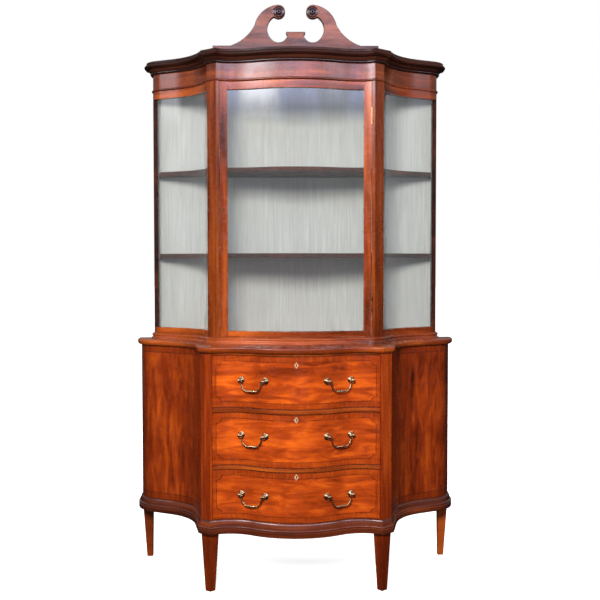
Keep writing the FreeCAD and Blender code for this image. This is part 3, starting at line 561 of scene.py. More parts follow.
def lining_paint():
    """Pale watered silk, a little stained, with upright moire and a fine weave."""
    p = Paint("lining_silk")
    flat = p.uv("wrap")
    moire = p.noise(p.place(flat, (1.0, 0.035, 1.0)), 150.0, 4.0, 0.62, 0.5)
    broad = p.noise(p.place(flat, (1.0, 0.10, 1.0)), 9.0, 3.0, 0.6, 0.7)
    stain = p.noise(flat, 4.0, 4.0)
    colour = p.ramp(moire, [(0.30, (0.289, 0.277, 0.265)), (0.50, (0.345, 0.334, 0.319)),
                            (0.70, (0.403, 0.391, 0.373))])
    colour = p.mix(p.span(broad, 0.40, 0.62, 0.0, 0.30), colour, (0.271, 0.258, 0.246))
    colour = p.mix(p.span(stain, 0.50, 0.72, 0.0, 0.20), colour, (0.296, 0.262, 0.214))
    threads = [p.add("ShaderNodeTexWave", {"Vector": flat, "Scale": 190.0}, bands_direction=way)
               for way in "YX"]
    weave = p.calc("MAXIMUM", *(thread.outputs["Fac"] for thread in threads))
    return p.shade(colour, p.span(moire, 0.3, 0.7, 0.62, 0.82), weave, 0.00008,
                   Sheen_Weight=0.25, Sheen_Roughness=0.4)


def glass_paint():
    """Old sheet glass: a slight waviness, and light from the lamps passes straight through."""
    p = Paint("old_glass")
    flat = p.uv("wrap")
    wave = p.calc("ADD", p.noise(p.place(flat, (1.0, 0.35, 1.0)), 5.0, 2.0, 0.4, 0.6),
                  p.calc("MULTIPLY", p.noise(p.place(flat, (1.0, 0.2, 1.0)), 34.0, 2.0), 0.06))
    bump = p.add("ShaderNodeBump", {"Height": wave, "Distance": 0.0011, "Strength": 1.0}).outputs[0]
    pane = p.add("ShaderNodeBsdfPrincipled", {
        "Base Color": (0.965, 0.985, 0.975), "Roughness": 0.0, "IOR": 1.65, "Transmission Weight": 1.0,
        "Normal": bump}).outputs[0]
    clear = p.add("ShaderNodeBsdfTransparent", {"Color": (0.93, 0.95, 0.94)}).outputs[0]
    lamp = p.add("ShaderNodeLightPath").outputs["Is Shadow Ray"]
    both = p.add("ShaderNodeMixShader", {0: lamp, 1: pane, 2: clear}).outputs[0]
    p.tree.links.new(both, p.output.inputs[0])
    return p.material


# ---- mesh building ----------------------------------------------------------------------
SMOOTH_ANGLE = 38.0         # sharper edges than this stay sharp in the shading, degrees
ARRIS_ANGLE = 34.0          # sharper edges than this are rounded, degrees


def place(x, reach, z):
    """Point in the frame, in metres, from mm across, from the wall and up."""
    return Vector((x * MM, (BACK_Y - reach) * MM, z * MM))


def new_object(name, mesh, body, material, slot):
    for polygon in mesh.polygons:
        polygon.use_smooth = True
    mesh.set_sharp_from_angle(angle=math.radians(SMOOTH_ANGLE))
    mesh.materials.clear()
    mesh.materials.append(material)
    piece = bpy.data.objects.new(name, mesh)
    bpy.context.scene.collection.objects.link(piece)
    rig.ride(piece, body)
    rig.slot(piece, slot)
    return piece


def wrap_uv(mesh, outline, panel=None):
    """Writes distance along the outline and height, and each panel's distances to its edges."""
    co = np.empty(len(mesh.vertices) * 3)
    mesh.vertices.foreach_get("co", co)
    co = co.reshape(-1, 3)
    if outline is None:
        s, z = co[:, 0], co[:, 2]
    else:
        s = outline.along(np.stack([co[:, 0] / MM, BACK_Y - co[:, 1] / MM], 1)) * MM
        z = co[:, 2]
    index = np.empty(len(mesh.loops), int)
    mesh.loops.foreach_get("vertex_index", index)
    layers = {"wrap": (s, z)}
    if panel:
        s0, s1, z0, z1 = (value * MM for value in panel)
        layers.update(edge_a=(s - s0, s1 - s), edge_b=(z - z0, z1 - z))
    for name, (u, v) in layers.items():
        layer = mesh.uv_layers.new(name=name)
        layer.data.foreach_set("uv", np.stack([u[index], v[index]], 1).astype(np.float32).ravel())


def soften(node, material, slot, width, outline=None, panel=None, shaded_ends=False):
    """A copy of a CAD node with its arrises rounded and marked for painted shade and wear; it stands for the node.
    With shaded_ends its sawn edges, which face neither front nor back, are marked as well, so they are darkened as
    painted shade too."""
    source = frame["nodes"][node]
    bm = bmesh.new()
    bm.from_mesh(source.data)
    bmesh.ops.remove_doubles(bm, verts=bm.verts, dist=1e-6)
    bmesh.ops.dissolve_limit(bm, angle_limit=math.radians(0.05), verts=bm.verts, edges=bm.edges)
    mark = bm.faces.layers.float.new("edge")
    limit = math.radians(ARRIS_ANGLE)
    arrises = [e for e in bm.edges if len(e.link_faces) == 2 and e.calc_face_angle(0.0) > limit]
    made = bmesh.ops.bevel(bm, geom=arrises, offset=width * MM, offset_type="OFFSET", segments=2,
                           profile=0.5, affect="EDGES", clamp_overlap=True)
    for face in made["faces"]:
        face[mark] = 1.0
    # Sawn edges take the painted arris shade as well.
    if shaded_ends:
        for face in bm.faces:
            if abs(face.normal.y) < 0.5:
                face[mark] = 1.0
    mesh = bpy.data.meshes.new(node + "_finish")
    bm.to_mesh(mesh)
    bm.free()
    wrap_uv(mesh, outline, panel)
    piece = new_object(node + "_finish", mesh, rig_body(node), material, slot)
    weigh = piece.modifiers.new("normals", "WEIGHTED_NORMAL")
    weigh.keep_sharp = True
    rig.replaces(piece, node)
    return piece


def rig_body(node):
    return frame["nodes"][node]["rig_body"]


def sweep(name, outline, profile, material, slot, replaces=None, board=False):
    """A moulding: a closed profile of (inset, z) run round the outline from wall to wall.
    With board the profile is only the moulded edge, and flat faces reach back to the wall."""
    rings = [outline.ring(inset) for inset, _ in profile]
    count, loops = len(rings[0]), len(profile)
    verts = [place(x, r, z) for ring, (_, z) in zip(rings, profile) for x, r in ring]
    faces = []
    for k in range(loops - 1 if board else loops):
        a, b = k * count, (k + 1) % loops * count
        faces += [(a + j, a + j + 1, b + j + 1, b + j) for j in range(count - 1)]
    starts = tuple(k * count for k in range(loops))
    ends = tuple(k * count + count - 1 for k in reversed(range(loops)))
    if board:
        faces += [tuple(range(count)), tuple(range((loops - 1) * count, loops * count))[::-1]]
        faces.append(starts + ends)
    else:
        faces += [starts, ends]
    bm = bmesh.new()
    corners = [bm.verts.new(v) for v in verts]
    for face in faces:
        bm.faces.new([corners[k] for k in face])
    finish_bmesh(name, bm, "cabinet", material, slot, replaces, outline)


def add_lathe(bm, profile, centre, axis, segments=32):
    """Turns (radius, height) points about an axis into bm."""
    axis = axis.normalized()
    u = axis.orthogonal().normalized()
    v = axis.cross(u)
    rings = []
    for radius, height in profile:
        foot = centre + axis * (height * MM)
        if radius < 1e-6:
            rings.append([bm.verts.new(foot)])
        else:
            turns = [2.0 * math.pi * k / segments for k in range(segments)]
            rings.append([bm.verts.new(foot + (u * math.cos(t) + v * math.sin(t)) * (radius * MM))
                          for t in turns])
    for a, b in zip(rings, rings[1:]):
        for k in range(segments):
            n = (k + 1) % segments
            if len(a) == 1:
                bm.faces.new((a[0], b[k], b[n]))
            elif len(b) == 1:
                bm.faces.new((a[k], b[0], a[n]))
            else:
                bm.faces.new((a[k], b[k], b[n], a[n]))


def add_tube(bm, points, radii, segments=14):
    """A round bar through the points, its thickness changing along it."""
    side_axis = None
    rings = []
    for i, point in enumerate(points):
        ahead = (points[min(i + 1, len(points) - 1)] - points[max(i - 1, 0)]).normalized()
        if side_axis is None:
            side_axis = ahead.orthogonal().normalized()
        side_axis = (side_axis - ahead * side_axis.dot(ahead)).normalized()
        other = ahead.cross(side_axis)
        rings.append([bm.verts.new(point + (side_axis * math.cos(t) + other * math.sin(t)) * (radii[i] * MM))
                      for t in (2.0 * math.pi * k / segments for k in range(segments))])
    for a, b in zip(rings, rings[1:]):
        for k in range(segments):
            n = (k + 1) % segments
            bm.faces.new((a[k], b[k], b[n], a[n]))
    bm.faces.new(rings[0][::-1])
    bm.faces.new(rings[-1])


def finish_bmesh(name, bm, body, material, slot, replaces, outline=None):
    bmesh.ops.recalc_face_normals(bm, faces=bm.faces)
    mesh = bpy.data.meshes.new(name)
    bm.to_mesh(mesh)
    bm.free()
    wrap_uv(mesh, outline)
    piece = new_object(name, mesh, body, material, slot)
    if replaces:
        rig.replaces(piece, replaces)


# ---- handles ----------------------------------------------------------------------------
HANDLE_FEET = (108.0, 193.0)    # x of a handle's two bosses
STAND_OFF = 16.0            # bail pivot in front of the drawer's face
BAIL_DROP = 36.0            # from the pivots down to the grip
BAIL_RADII = (3.0, 9.0, 14.0, 10.0)     # of the bail's bends, from the pin to the grip
BEND_STEPS = 7              # straight pieces along each bend
PIN_RADIUS, BAR_RADIUS = 1.9, 2.6
# Turned sections of (radius, height in front of the drawer's face).
BOSS_PROFILE = [(0.0, -2.0), (12.3, -2.0), (13.0, 0.0), (13.0, 1.4), (12.3, 2.4), (11.2, 2.8), (10.7, 2.5),
                (9.9, 2.9), (9.0, 4.6), (7.2, 6.2), (5.4, 7.4), (4.6, 8.8), (4.6, 9.8), (5.4, 11.0),
                (6.3, 13.2), (6.6, 15.8), (6.3, 18.2), (5.4, 20.2), (3.8, 21.8), (1.8, 22.6), (0.0, 22.8)]
SHANK_PROFILE = [(0.0, -30.0), (2.3, -30.0), (2.5, -29.6), (2.5, -28.0), (5.8, -28.0), (6.0, -27.6),
                 (6.0, -24.9), (5.8, -24.5), (2.5, -24.5), (2.5, -2.0), (0.0, -2.0)]


def handle_frame(z, sign):
    """Places of the bosses' feet and the bail's pivots, and the ways along and out of them."""
    feet = [place(x, reach_at(BASE, CARCASS, x), z) for x in HANDLE_FEET]
    chord = (feet[1] - feet[0]).normalized()
    out = Vector((chord.y, -chord.x, 0.0))
    if sign < 0:
        feet = [Vector((-f.x, f.y, f.z)) for f in feet]
        chord, out = Vector((-chord.x, chord.y, 0.0)), Vector((-out.x, out.y, 0.0))
    pivots = [f + out * (STAND_OFF * MM) for f in feet]
    return feet, pivots, chord, out


def rounded(points, radii):
    """Points along a broken line whose corners are rounded, in a flat (u, z) plane."""
    out = [Vector(points[0])]
    for before, corner, after, radius in zip(points, points[1:], points[2:], radii):
        c = Vector(corner)
        a, b = (Vector(before) - c).normalized(), (Vector(after) - c).normalized()
        half = a.angle(b) / 2.0
        cut = radius / math.tan(half)
        centre = c + (a + b).normalized() * (radius / math.sin(half))
        start, end = c + a * cut - centre, c + b * cut - centre
        turn = start.angle_signed(end)
        first = math.atan2(start.y, start.x)
        for k in range(BEND_STEPS + 1):
            angle = first - turn * k / BEND_STEPS
            out.append(centre + Vector((math.cos(angle), math.sin(angle))) * radius)
    out.append(Vector(points[-1]))
    return out


def bail_path(half):
    """Right half of the bail, from its pin in the boss to the middle of the grip."""
    corners = [(half - 2.0, 0.0), (half - 10.8, 0.0), (half - 7.4, -10.5), (half - 13.0, -25.5),
               (half - 25.0, -BAIL_DROP), (0.0, -BAIL_DROP)]
    return rounded(corners, BAIL_RADII)


def bail_radius(u, z, half):
    """The bar is thickest in the middle of the grip, with a small collar each side of it."""
    if abs(u) > half - 6.6 and z > -1.0:
        return PIN_RADIUS
    if z > 6.0 - BAIL_DROP:
        return BAR_RADIUS
    return BAR_RADIUS + 1.2 * math.exp(-(u / 13.0) ** 4) + 0.5 * math.exp(-((abs(u) - 15.5) / 1.4) ** 2)


def evenly(points, shortest=0.15, longest=1.6):
    """The points without near repeats, and with more between those far apart, mm."""
    kept = [points[0]]
    for q in points[1:]:
        if (q - kept[-1]).length > shortest:
            kept.append(q)
    dense = []
    for a, b in zip(kept, kept[1:]):
        n = max(1, math.ceil((b - a).length / longest))
        dense += [a.lerp(b, k / n) for k in range(n)]
    return dense + [kept[-1]]


def make_handles(brass):
    for drawer, (_, _, z) in DRAWERS.items():
        bm = bmesh.new()
        for sign, side_name in ((1, "right"), (-1, "left")):
            feet, pivots, chord, out = handle_frame(z, sign)
            for foot in feet:
                add_lathe(bm, BOSS_PROFILE, foot, out)
                add_lathe(bm, SHANK_PROFILE, foot, out, 16)
            middle = (pivots[0] + pivots[1]) / 2.0
            half = (pivots[1] - pivots[0]).length / 2.0 / MM
            right = bail_path(half)
            path = evenly(right + [Vector((-p.x, p.y)) for p in right[-2::-1]])
            wire = bmesh.new()
            add_tube(wire, [middle + chord * (p.x * MM) + Vector((0, 0, p.y * MM)) for p in path],
                     [bail_radius(p.x, p.y, half) for p in path])
            node = "bail_%s_%s" % (drawer, side_name)
            finish_bmesh(node + "_brass", wire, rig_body(node), brass, "brass", node)
        node = "handle_bosses_" + drawer
        finish_bmesh(node + "_brass", bm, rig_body(node), brass, "brass", node)


# ---- small turned and carved pieces ------------------------------------------------------
EYE_X, EYE_Z = 60.5, 2058.0     # middle of a scroll's eye
PEDIMENT_FACE = 322.0           # reach of the board's face
INLAY_SIDE, INLAY_THICKNESS = 7.0, 0.2
INLAY_FACE = 6.9                # the inlay's middle in front of the board's face
ROSETTE_PROFILE = [(0.0, 0.0), (20.5, 0.0), (20.5, 2.4), (19.9, 3.4), (18.6, 3.9), (17.2, 3.4), (16.6, 2.2),
                   (15.2, 1.7), (12.4, 2.1), (10.4, 3.2), (9.4, 4.4), (8.4, 5.2), (7.9, 6.4), (7.0, 7.0),
                   (5.2, 7.0), (0.0, 7.0)]


def make_rosettes(dark, light):
    """Turned rosettes, each with a small square inlay set on its corner."""
    bm, tiles = bmesh.new(), bmesh.new()
    shape = Matrix.Diagonal((INLAY_SIDE * MM, INLAY_THICKNESS * MM, INLAY_SIDE * MM, 1.0))
    turn = Matrix.Rotation(math.radians(45.0), 4, "Y")
    for sign in (1, -1):
        centre = place(sign * EYE_X, PEDIMENT_FACE, EYE_Z)
        add_lathe(bm, ROSETTE_PROFILE, centre, Vector((0, -1, 0)), 40)
        tile = bmesh.ops.create_cube(tiles, size=1.0)["verts"]
        seat = Matrix.Translation(centre + Vector((0, -INLAY_FACE * MM, 0)))
        bmesh.ops.transform(tiles, verts=tile, matrix=seat @ turn @ shape)
    finish_bmesh("rosettes_turned", bm, "cabinet", dark, "dark_mahogany", "rosettes")
    bmesh.ops.bevel(tiles, geom=tiles.edges[:], offset=0.05 * MM, segments=1, affect="EDGES")
    finish_bmesh("rosette_inlays", tiles, "cabinet", light, "mahogany", None)


LINING_CELLS = (120, 100)   # across and up


def make_lining(silk):
    """The back's cloth: stretched and tacked, so only a fraction of a millimetre uneven."""
    lo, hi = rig.box("back_lining")
    nx, nz = LINING_CELLS
    verts, faces = [], []
    for j in range(nz + 1):
        for i in range(nx + 1):
            x, z = lo.x + (hi.x - lo.x) * i / nx, lo.z + (hi.z - lo.z) * j / nz
            fine = noise.noise(Vector((x * 26.0, z * 1.3, 0.7)))
            broad = noise.noise(Vector((x * 7.0, z * 3.0, 4.1)))
            verts.append((x, lo.y + (0.55 - fine * 0.28 - broad * 0.20) * MM, z))
    for j in range(nz):
        for i in range(nx):
            a = j * (nx + 1) + i
            faces.append((a, a + 1, a + nx + 2, a + nx + 1))
    mesh = bpy.data.meshes.new("back_lining_silk")
    mesh.from_pydata(verts, [], faces)
    wrap_uv(mesh, None)
    piece = new_object("back_lining_silk", mesh, "cabinet", silk, "lining_cloth")
    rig.replaces(piece, "back_lining")
    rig.sheet(piece, flat=(round(hi.x - lo.x, 4), round(hi.z - lo.z, 4)), held="stretched",
             rests_on=["case_back"])


# ---- stage, camera and lights -----------------------------------------------------------
CAMERA_PLACE = (-0.02828, -3.6114, 1.1684)
CAMERA_YAW, CAMERA_PITCH, CAMERA_ROLL = -0.012218, 0.040525, -0.00079    # radians
CAMERA_LENS = 58.8          # mm, on a 36 mm wide sensor
AMBIENT = 0.09              # light from all round
GLOSS_LOW, GLOSS_HIGH = 0.02, 0.30      # what the polish mirrors below and above eye level
FLOOR_HALF = 40.0           # half the floor's side, m


def make_camera():
    """Stands at eye height in front of the cabinet and looks slightly down."""
    yaw, pitch, roll = CAMERA_YAW, CAMERA_PITCH, CAMERA_ROLL
    right = Vector((math.cos(yaw), math.sin(yaw), 0.0))
    ahead = Vector((-math.sin(yaw) * math.cos(pitch), math.cos(yaw) * math.cos(pitch), -math.sin(pitch)))
    up = right.cross(ahead)
    c, s = math.cos(roll), math.sin(roll)
    across, upward = right * c + up * s, up * c - right * s
    data = bpy.data.cameras.new("camera")
    data.sensor_width, data.lens = 36.0, CAMERA_LENS
    data.clip_start, data.clip_end = 0.1, 100.0
    camera = bpy.data.objects.new("camera", data)
    turn = Matrix((across, upward, -ahead)).transposed().to_4x4()
    camera.matrix_world = Matrix.Translation(CAMERA_PLACE) @ turn
    bpy.context.scene.collection.objects.link(camera)
    bpy.context.scene.camera = camera


def area(name, position, target, size, power, colour=(1.0, 1.0, 1.0)):
    """Soft lamp that lights the cabinet without being mirrored in its polish."""
    data = bpy.data.lights.new(name, "AREA")
    data.shape, data.size, data.size_y = "RECTANGLE", size[0], size[1]
    data.energy, data.color = power, colour
    lamp = bpy.data.objects.new(name, data)
    lamp.location = position
    lamp.rotation_euler = (Vector(target) - Vector(position)).to_track_quat("-Z", "Y").to_euler()
    lamp.visible_glossy = lamp.visible_transmission = False
    bpy.context.scene.collection.objects.link(lamp)


def card(name, position, target, size, strength, colour, fade):
    """Glowing card with soft edges, seen only as a reflection."""
    p = Paint(name)
    x, y, _ = p.split(p.add("ShaderNodeTexCoord").outputs["Generated"])
    edges = [p.span(p.calc("PINGPONG", t, 0.5), 0.0, width) for t, width in zip((x, y), fade)]
    glow = p.add("ShaderNodeEmission", {"Color": colour, "Strength": strength}).outputs[0]
    clear = p.add("ShaderNodeBsdfTransparent").outputs[0]
    soft = p.add("ShaderNodeMixShader", {0: p.calc("MULTIPLY", *edges), 1: clear, 2: glow}).outputs[0]
    p.tree.links.new(soft, p.output.inputs[0])
    w, h = size[0] / 2.0, size[1] / 2.0
    mesh = bpy.data.meshes.new(name)
    mesh.from_pydata([(-w, -h, 0.0), (w, -h, 0.0), (w, h, 0.0), (-w, h, 0.0)], [], [(0, 1, 2, 3)])
    mesh.materials.append(p.material)
    piece = bpy.data.objects.new(name, mesh)
    piece.location = position
    piece.rotation_euler = (Vector(target) - Vector(position)).to_track_quat("-Z", "Y").to_euler()
    piece.visible_camera = piece.visible_diffuse = piece.visible_shadow = False
    bpy.context.scene.collection.objects.link(piece)
    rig.stage(piece)


def make_floor():
    bm = bmesh.new()
    bmesh.ops.create_grid(bm, x_segments=24, y_segments=24, size=FLOOR_HALF)
    mesh = bpy.data.meshes.new("floor")
    bm.to_mesh(mesh)
    bm.free()
    p = Paint("pale_floor")
    grey = p.noise(p.add("ShaderNodeTexCoord").outputs["Object"], 3.0, 2.0)
    colour = p.ramp(grey, [(0.3, (0.86, 0.86, 0.86)), (0.7, (0.90, 0.90, 0.90))])
    mesh.materials.append(p.shade(colour, 0.9, Emission_Color=(1.0, 1.0, 1.0), Emission_Strength=0.62))
    floor = bpy.data.objects.new("floor", mesh)
    floor.visible_glossy = floor.visible_diffuse = floor.visible_transmission = False
    bpy.context.scene.collection.objects.link(floor)
    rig.stage(floor)


def make_world():
    """White behind the cabinet; its light is soft and even, and its reflections are dim."""
    world = bpy.data.worlds.new("studio")
    world.use_nodes = True
    tree = world.node_tree
    tree.nodes.clear()
    out = tree.nodes.new("ShaderNodeOutputWorld")
    way, height = tree.nodes.new("ShaderNodeTexCoord"), tree.nodes.new("ShaderNodeSeparateXYZ")
    tree.links.new(way.outputs["Generated"], height.inputs[0])
    rise = tree.nodes.new("ShaderNodeMapRange")
    rise.interpolation_type = "SMOOTHSTEP"
    tree.links.new(height.outputs[2], rise.inputs[0])
    for socket, value in zip(list(rise.inputs)[1:5], (-0.05, 0.25, GLOSS_LOW, GLOSS_HIGH)):
        socket.default_value = value
    shades = []
    for colour, strength in (((0.95, 0.97, 1.0, 1.0), AMBIENT), ((0.90, 0.94, 1.0, 1.0), rise.outputs[0]),
                             ((1.0, 1.0, 1.0, 1.0), 1.0)):
        shade = tree.nodes.new("ShaderNodeBackground")
        shade.inputs[0].default_value = colour
        if isinstance(strength, float):
            shade.inputs[1].default_value = strength
        else:
            tree.links.new(strength, shade.inputs[1])
        shades.append(shade.outputs[0])
    path = tree.nodes.new("ShaderNodeLightPath").outputs
    first, through, seen = (tree.nodes.new("ShaderNodeMath") for _ in range(3))
    first.operation, through.operation, seen.operation = "LESS_THAN", "MULTIPLY", "MAXIMUM"
    tree.links.new(path["Diffuse Depth"], first.inputs[0])
    tree.links.new(first.outputs[0], through.inputs[0])
    tree.links.new(path["Is Transmission Ray"], through.inputs[1])
    tree.links.new(through.outputs[0], seen.inputs[0])
    tree.links.new(path["Is Camera Ray"], seen.inputs[1])
    mixed = shades[0]
    for ray, shade in ((path["Is Glossy Ray"], shades[1]), (seen.outputs[0], shades[2])):
        mix = tree.nodes.new("ShaderNodeMixShader")
        tree.links.new(ray, mix.inputs[0])
        tree.links.new(mixed, mix.inputs[1])
        tree.links.new(shade, mix.inputs[2])
        mixed = mix.outputs[0]
    tree.links.new(mixed, out.inputs[0])
    bpy.context.scene.world = world
    bpy.context.scene.view_settings.view_transform = "Standard"


def make_stage():
    """Lamps light the cabinet, and cards stand for the windows that its polish mirrors."""
    make_floor()
    make_world()
    area("key_front", (-0.5, -3.8, 2.44), (0.0, 0.0, 1.25), (1.2, 0.85), 285.0, (1.0, 0.985, 0.95))
    area("fill_front", (0.3, -4.8, 1.2), (0.0, 0.0, 0.7), (1.8, 1.2), 26.0)
    area("fill_right", (3.2, -1.2, 1.6), (0.2, 0.0, 1.0), (1.6, 1.6), 15.0)
    area("fill_left", (-3.2, -0.8, 1.6), (-0.2, 0.0, 1.0), (1.6, 1.6), 5.0)
    area("fill_back", (0.6, 4.2, 2.4), (0.0, 0.0, 1.0), (3.0, 2.0), 80.0)
    card("window_left", (-2.46, -2.57, 2.90), (-0.14, -0.08, 2.90), (4.6, 1.60), 17.0, (0.88, 0.90, 1.0),
         fade=(0.48, 0.34))
    card("window_front", (0.25, -3.50, 2.90), (0.05, -0.08, 2.90), (4.6, 1.60), 7.4, (0.62, 0.69, 1.0),
         fade=(0.30, 0.34))
    card("window_right", (2.55, -2.30, 2.90), (0.10, -0.08, 2.90), (3.8, 1.60), 7.5, (0.74, 0.80, 1.0),
         fade=(0.48, 0.34))
    sun = bpy.data.lights.new("floor_sun", "SUN")
    sun.energy, sun.angle = 2.2, math.radians(70.0)
    lamp = bpy.data.objects.new("floor_sun", sun)
    bpy.context.scene.collection.objects.link(lamp)
    only = bpy.data.collections.new("floor_only")
    only.objects.link(bpy.data.objects["floor"])
    lamp.light_linking.receiver_collection = only


# ---- the whole ----------------------------------------------------------------------------
# Mouldings are sections of (inset from the plan outline, height), in mm.
CORNICE_PROFILE = [
    (-1.0, 1878.0), (-1.2, 1879.4), (-5.8, 1880.2), (-6.0, 1887.6), (-9.2, 1888.4), (-10.6, 1889.6),
    (-11.8, 1891.4), (-13.6, 1893.0), (-15.2, 1895.6), (-16.2, 1898.6), (-17.4, 1899.8),
    (-20.6, 1900.2), (-24.8, 1901.2), (-28.6, 1903.0), (-31.4, 1905.4), (-32.8, 1908.0),
    (-32.6, 1910.6), (-31.0, 1913.2), (-28.6, 1915.4), (-26.0, 1916.8), (-25.0, 1917.5), (-25.0, 1924.2),
    (-24.2, 1925.0), (14.0, 1925.0), (14.0, 1878.0)]
CORNICE_BEAD_PROFILE = [
    (-5.0, 1879.9), (-6.6, 1879.9), (-8.4, 1880.7), (-9.6, 1882.2), (-10.0, 1884.0), (-9.6, 1885.8),
    (-8.4, 1887.2), (-6.8, 1887.9), (-5.0, 1887.9)]
BASE_MOULDING_PROFILE = [
    (3.0, 205.0), (0.9, 205.5), (0.0, 207.2), (0.0, 222.6), (0.8, 223.4), (1.4, 224.2), (1.0, 225.2),
    (0.2, 226.6), (0.0, 228.4), (0.4, 230.2), (1.4, 231.7), (3.0, 232.6), (5.2, 232.9), (6.0, 233.6),
    (6.4, 236.0), (7.3, 241.0), (8.6, 247.0), (10.2, 251.2), (12.4, 254.0), (15.5, 254.0),
    (15.5, 236.0), (33.0, 236.0), (33.0, 205.0)]
BASE_TOP_PROFILE = [
    (7.0, 845.0), (5.6, 845.4), (3.8, 846.6), (2.4, 848.2), (1.2, 850.0), (0.3, 852.0), (0.0, 854.2),
    (0.0, 858.6), (0.3, 861.0), (1.4, 863.4), (3.5, 865.0)]
PLINTH_PROFILE = [
    (-12.0, 865.0), (-12.0, 868.2), (-11.0, 869.7), (-8.8, 871.3), (-7.4, 873.8), (-6.8, 876.6),
    (-7.2, 877.8), (-8.8, 878.6), (-9.6, 880.4), (-9.6, 882.4), (-8.5, 884.3), (-6.6, 885.6),
    (-4.6, 886.4), (-2.2, 888.4), (-0.4, 889.0), (0.5, 889.0), (0.5, 865.0)]
FRIEZE_PROFILE = [(0.0, 1823.0), (0.0, 1878.0), (14.0, 1878.0), (14.0, 1815.0), (0.0, 1815.0)]
FRIEZE_BEAD_PROFILE = [
    (0.5, 1823.8), (-0.4, 1823.6), (-2.4, 1823.2), (-4.1, 1821.8), (-4.9, 1819.6), (-4.4, 1817.3),
    (-2.7, 1815.8), (-0.3, 1815.1), (0.5, 1815.1)]


def make_mouldings(level):
    """Every moulding that runs round the cabinet from wall to wall."""
    slot = "dark_mahogany"
    bead = wood("polished_bead", DARK, "x", gloss=0.20, coat=0.9, shine=0.60, seed=5.4)
    dull_dark = wood("dark_cornice", DARK, "x", gloss=0.48, coat=0.05, shine=0.25, seed=5.2)
    foot = wood("foot_moulding", RED, "x", gloss=0.20, coat=0.6, seed=5.5)
    top = wood("base_board", grain="x", seed=7.0)
    frieze = wood("frieze_veneer", FRIEZE, "x", flame=0.35, leaf=0.112, seed=8.0, coat=0.40)
    sweep("cornice_moulding", CASE, CORNICE_PROFILE, dull_dark, slot, "cornice")
    sweep("cornice_bead", CASE, CORNICE_BEAD_PROFILE, bead, slot)
    sweep("base_foot_moulding", BASE, BASE_MOULDING_PROFILE, foot, slot, "base_moulding")
    sweep("base_top_board", BASE, BASE_TOP_PROFILE, top, "mahogany", "base_top", board=True)
    sweep("plinth_bead", CASE, PLINTH_PROFILE, level, slot, "plinth_moulding")
    sweep("frieze_veneered", CASE, FRIEZE_PROFILE, frieze, "flame_veneer", "frieze")
    sweep("frieze_bead", CASE, FRIEZE_BEAD_PROFILE, foot, slot)


def make_frame(upright, level):
    """Posts, stiles, rails, shelves and the pediment, with their arrises rounded."""
    # The pediment board's arrises and sawn edges are darkened strongly as painted shade, with little real wear.
    board = wood("mahogany_board", BROWN, "x", wrapped=False, coat=0.10, shine=0.30, seed=2.0,
                 arris_shade=0.85, wear=0.15)
    # Dark wood for the shelves; on the rear stiles its darkness is painted shade, where they turn away from the light.
    dark_board_and_shade = wood("dark_board_and_shade", DARK, "x", wrapped=False, seed=4.0, gloss=0.55, coat=0.0, shine=0.10)
    base_arris, case_arris = s_at(BASE, BASE_ARRIS_X) * MM, s_at(CASE, CASE_ARRIS_X) * MM
    base_lines = (base_arris - 0.004, base_arris + 0.006, base_arris + 0.050)
    base_post = wood("base_posts", POST, "z", seed=9.0, painted_leg_shade=0.55, lines=base_lines)
    case_post = wood("case_posts", CASE_POST, "z", seed=11.0, lines=(case_arris + 0.006, case_arris + 0.040))
    for node, timber, slot, width, outline in (
            ("front_posts", base_post, "mahogany", 0.8, BASE),
            ("rear_legs", upright, "mahogany", 0.8, BASE),
            ("case_posts", case_post, "mahogany", 0.6, CASE),
            ("case_rear_stiles", dark_board_and_shade, "mahogany", 1.0, CASE),
            ("case_side_rails", level, "mahogany", 0.6, CASE),
            ("door_stiles", upright, "mahogany", 1.2, CASE),
            ("door_rails", level, "mahogany", 1.0, CASE),
            ("drawer_rails", level, "mahogany", 0.8, BASE),
            ("shelf_lower", dark_board_and_shade, "dark_mahogany", 1.5, CASE),
            ("shelf_upper", dark_board_and_shade, "dark_mahogany", 1.5, CASE),
            ("case_floor", level, "mahogany", 0.5, CASE)):
        soften(node, timber, slot, width, outline)
    soften("pediment", board, "mahogany", 1.6, shaded_ends=True)


def make_base_sides():
    back_edge = float(BASE.along([SIDE_BACK])[0])
    front_edge = s_at(BASE, BASE_ARRIS_X) + BASE_POST_FACE
    for name, sign, seed in (("right", 1, 1.3), ("left", -1, 6.1)):
        veneer = wood("side_veneer_" + name, SIDE, "z", flame=0.62, band=(0.026, 0.0), seed=seed)
        ends = sorted((sign * front_edge, sign * back_edge))
        soften("base_side_" + name, veneer, "flame_veneer", 0.5, BASE, (*ends, CARCASS_BOTTOM, CARCASS_TOP))


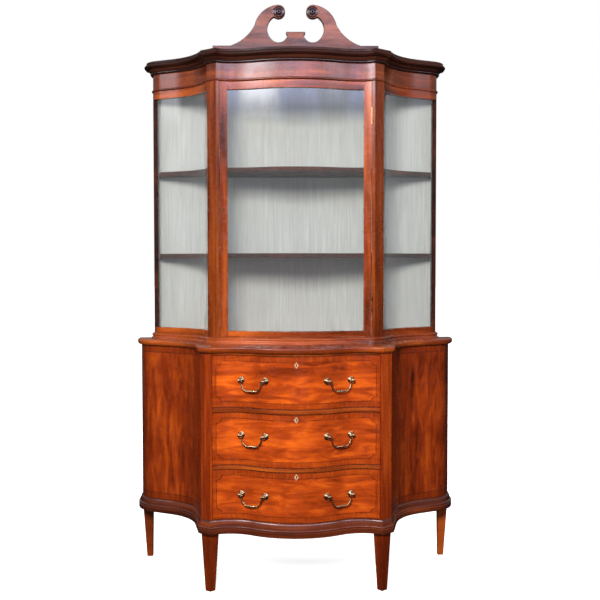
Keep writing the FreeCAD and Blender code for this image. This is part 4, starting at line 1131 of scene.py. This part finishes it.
def make_drawers(lock_brass):
    oak = plain_wood("bare_oak", ((0.30, 0.16, 0.06), (0.46, 0.28, 0.12), (0.14, 0.07, 0.03)))
    end, bone = s_at(BASE, DRAWER_END_X), bone_paint()
    for k, (drawer, (z0, z1, _)) in enumerate(DRAWERS.items()):
        veneer = wood("drawer_veneer_" + drawer, FLAME, "x", flame=0.6, band=(0.021, 0.017),
                      seed=2.3 + 4.1 * k)
        soften("drawer_front_" + drawer, veneer, "flame_veneer", 0.7, BASE,
               (-end, end, z0 + DRAWER_GAP, z1 - DRAWER_GAP))
        soften("drawer_box_" + drawer, oak, "drawer_lining_oak", 0.8)
        soften("escutcheon_" + drawer, bone, "bone", 0.12)
        soften("drawer_lock_" + drawer, lock_brass, "brass", 0.4)


def paint_metals(brass, lock_brass):
    """The small metal nodes keep their CAD shape and take a new material."""
    hinge_brass = brass_paint("hinge_brass", (0.80, 0.33, 0.14), (0.45, 0.16, 0.06))
    steel = steel_paint()
    metals = {"hinge_fixed_leaves": hinge_brass, "hinge_door_leaves": hinge_brass, "door_lock": lock_brass,
              "shelf_supports": lock_brass, "door_escutcheon": brass, "door_bolt": steel}
    metals.update({"drawer_bolt_" + drawer: steel for drawer in DRAWERS})
    for node, metal in metals.items():
        materials = frame["nodes"][node].data.materials
        materials.clear()
        materials.append(metal)


def main():
    brass = brass_paint("old_brass", (0.66, 0.50, 0.27), (0.16, 0.10, 0.045))
    # The locks' brass is made very dark, so what shows through the keyholes reads as painted shade.
    lock_brass = brass_paint("lock_brass", (0.10, 0.070, 0.034), (0.035, 0.022, 0.010))
    upright, level = wood("mahogany_upright", grain="z"), wood("mahogany_level", grain="x", seed=3.0)
    dark = wood("dark_mouldings", DARK, "x", gloss=0.20, coat=0.3, seed=5.0)
    pine = plain_wood("bare_pine", ((0.20, 0.095, 0.035), (0.33, 0.17, 0.07), (0.09, 0.04, 0.018)), 0.6)
    glass = glass_paint()

    make_mouldings(level)
    make_frame(upright, level)
    make_base_sides()
    make_drawers(lock_brass)
    for node in ("base_floor", "base_back", "drawer_runners", "drawer_partitions", "case_top", "case_back"):
        soften(node, pine, "drawer_lining_oak", 0.6)
    for node in ("side_glass_right", "side_glass_left", "door_glass"):
        soften(node, glass, "window_glass", 0.3, CASE)
    paint_metals(brass, lock_brass)
    make_handles(brass)
    make_rosettes(dark, level)
    make_lining(lining_paint())
    make_camera()
    make_stage()


main()
json.dump({"cad": cad_box, "visual": [list(corner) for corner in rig.bounds()]}, open("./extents.json", "w"))
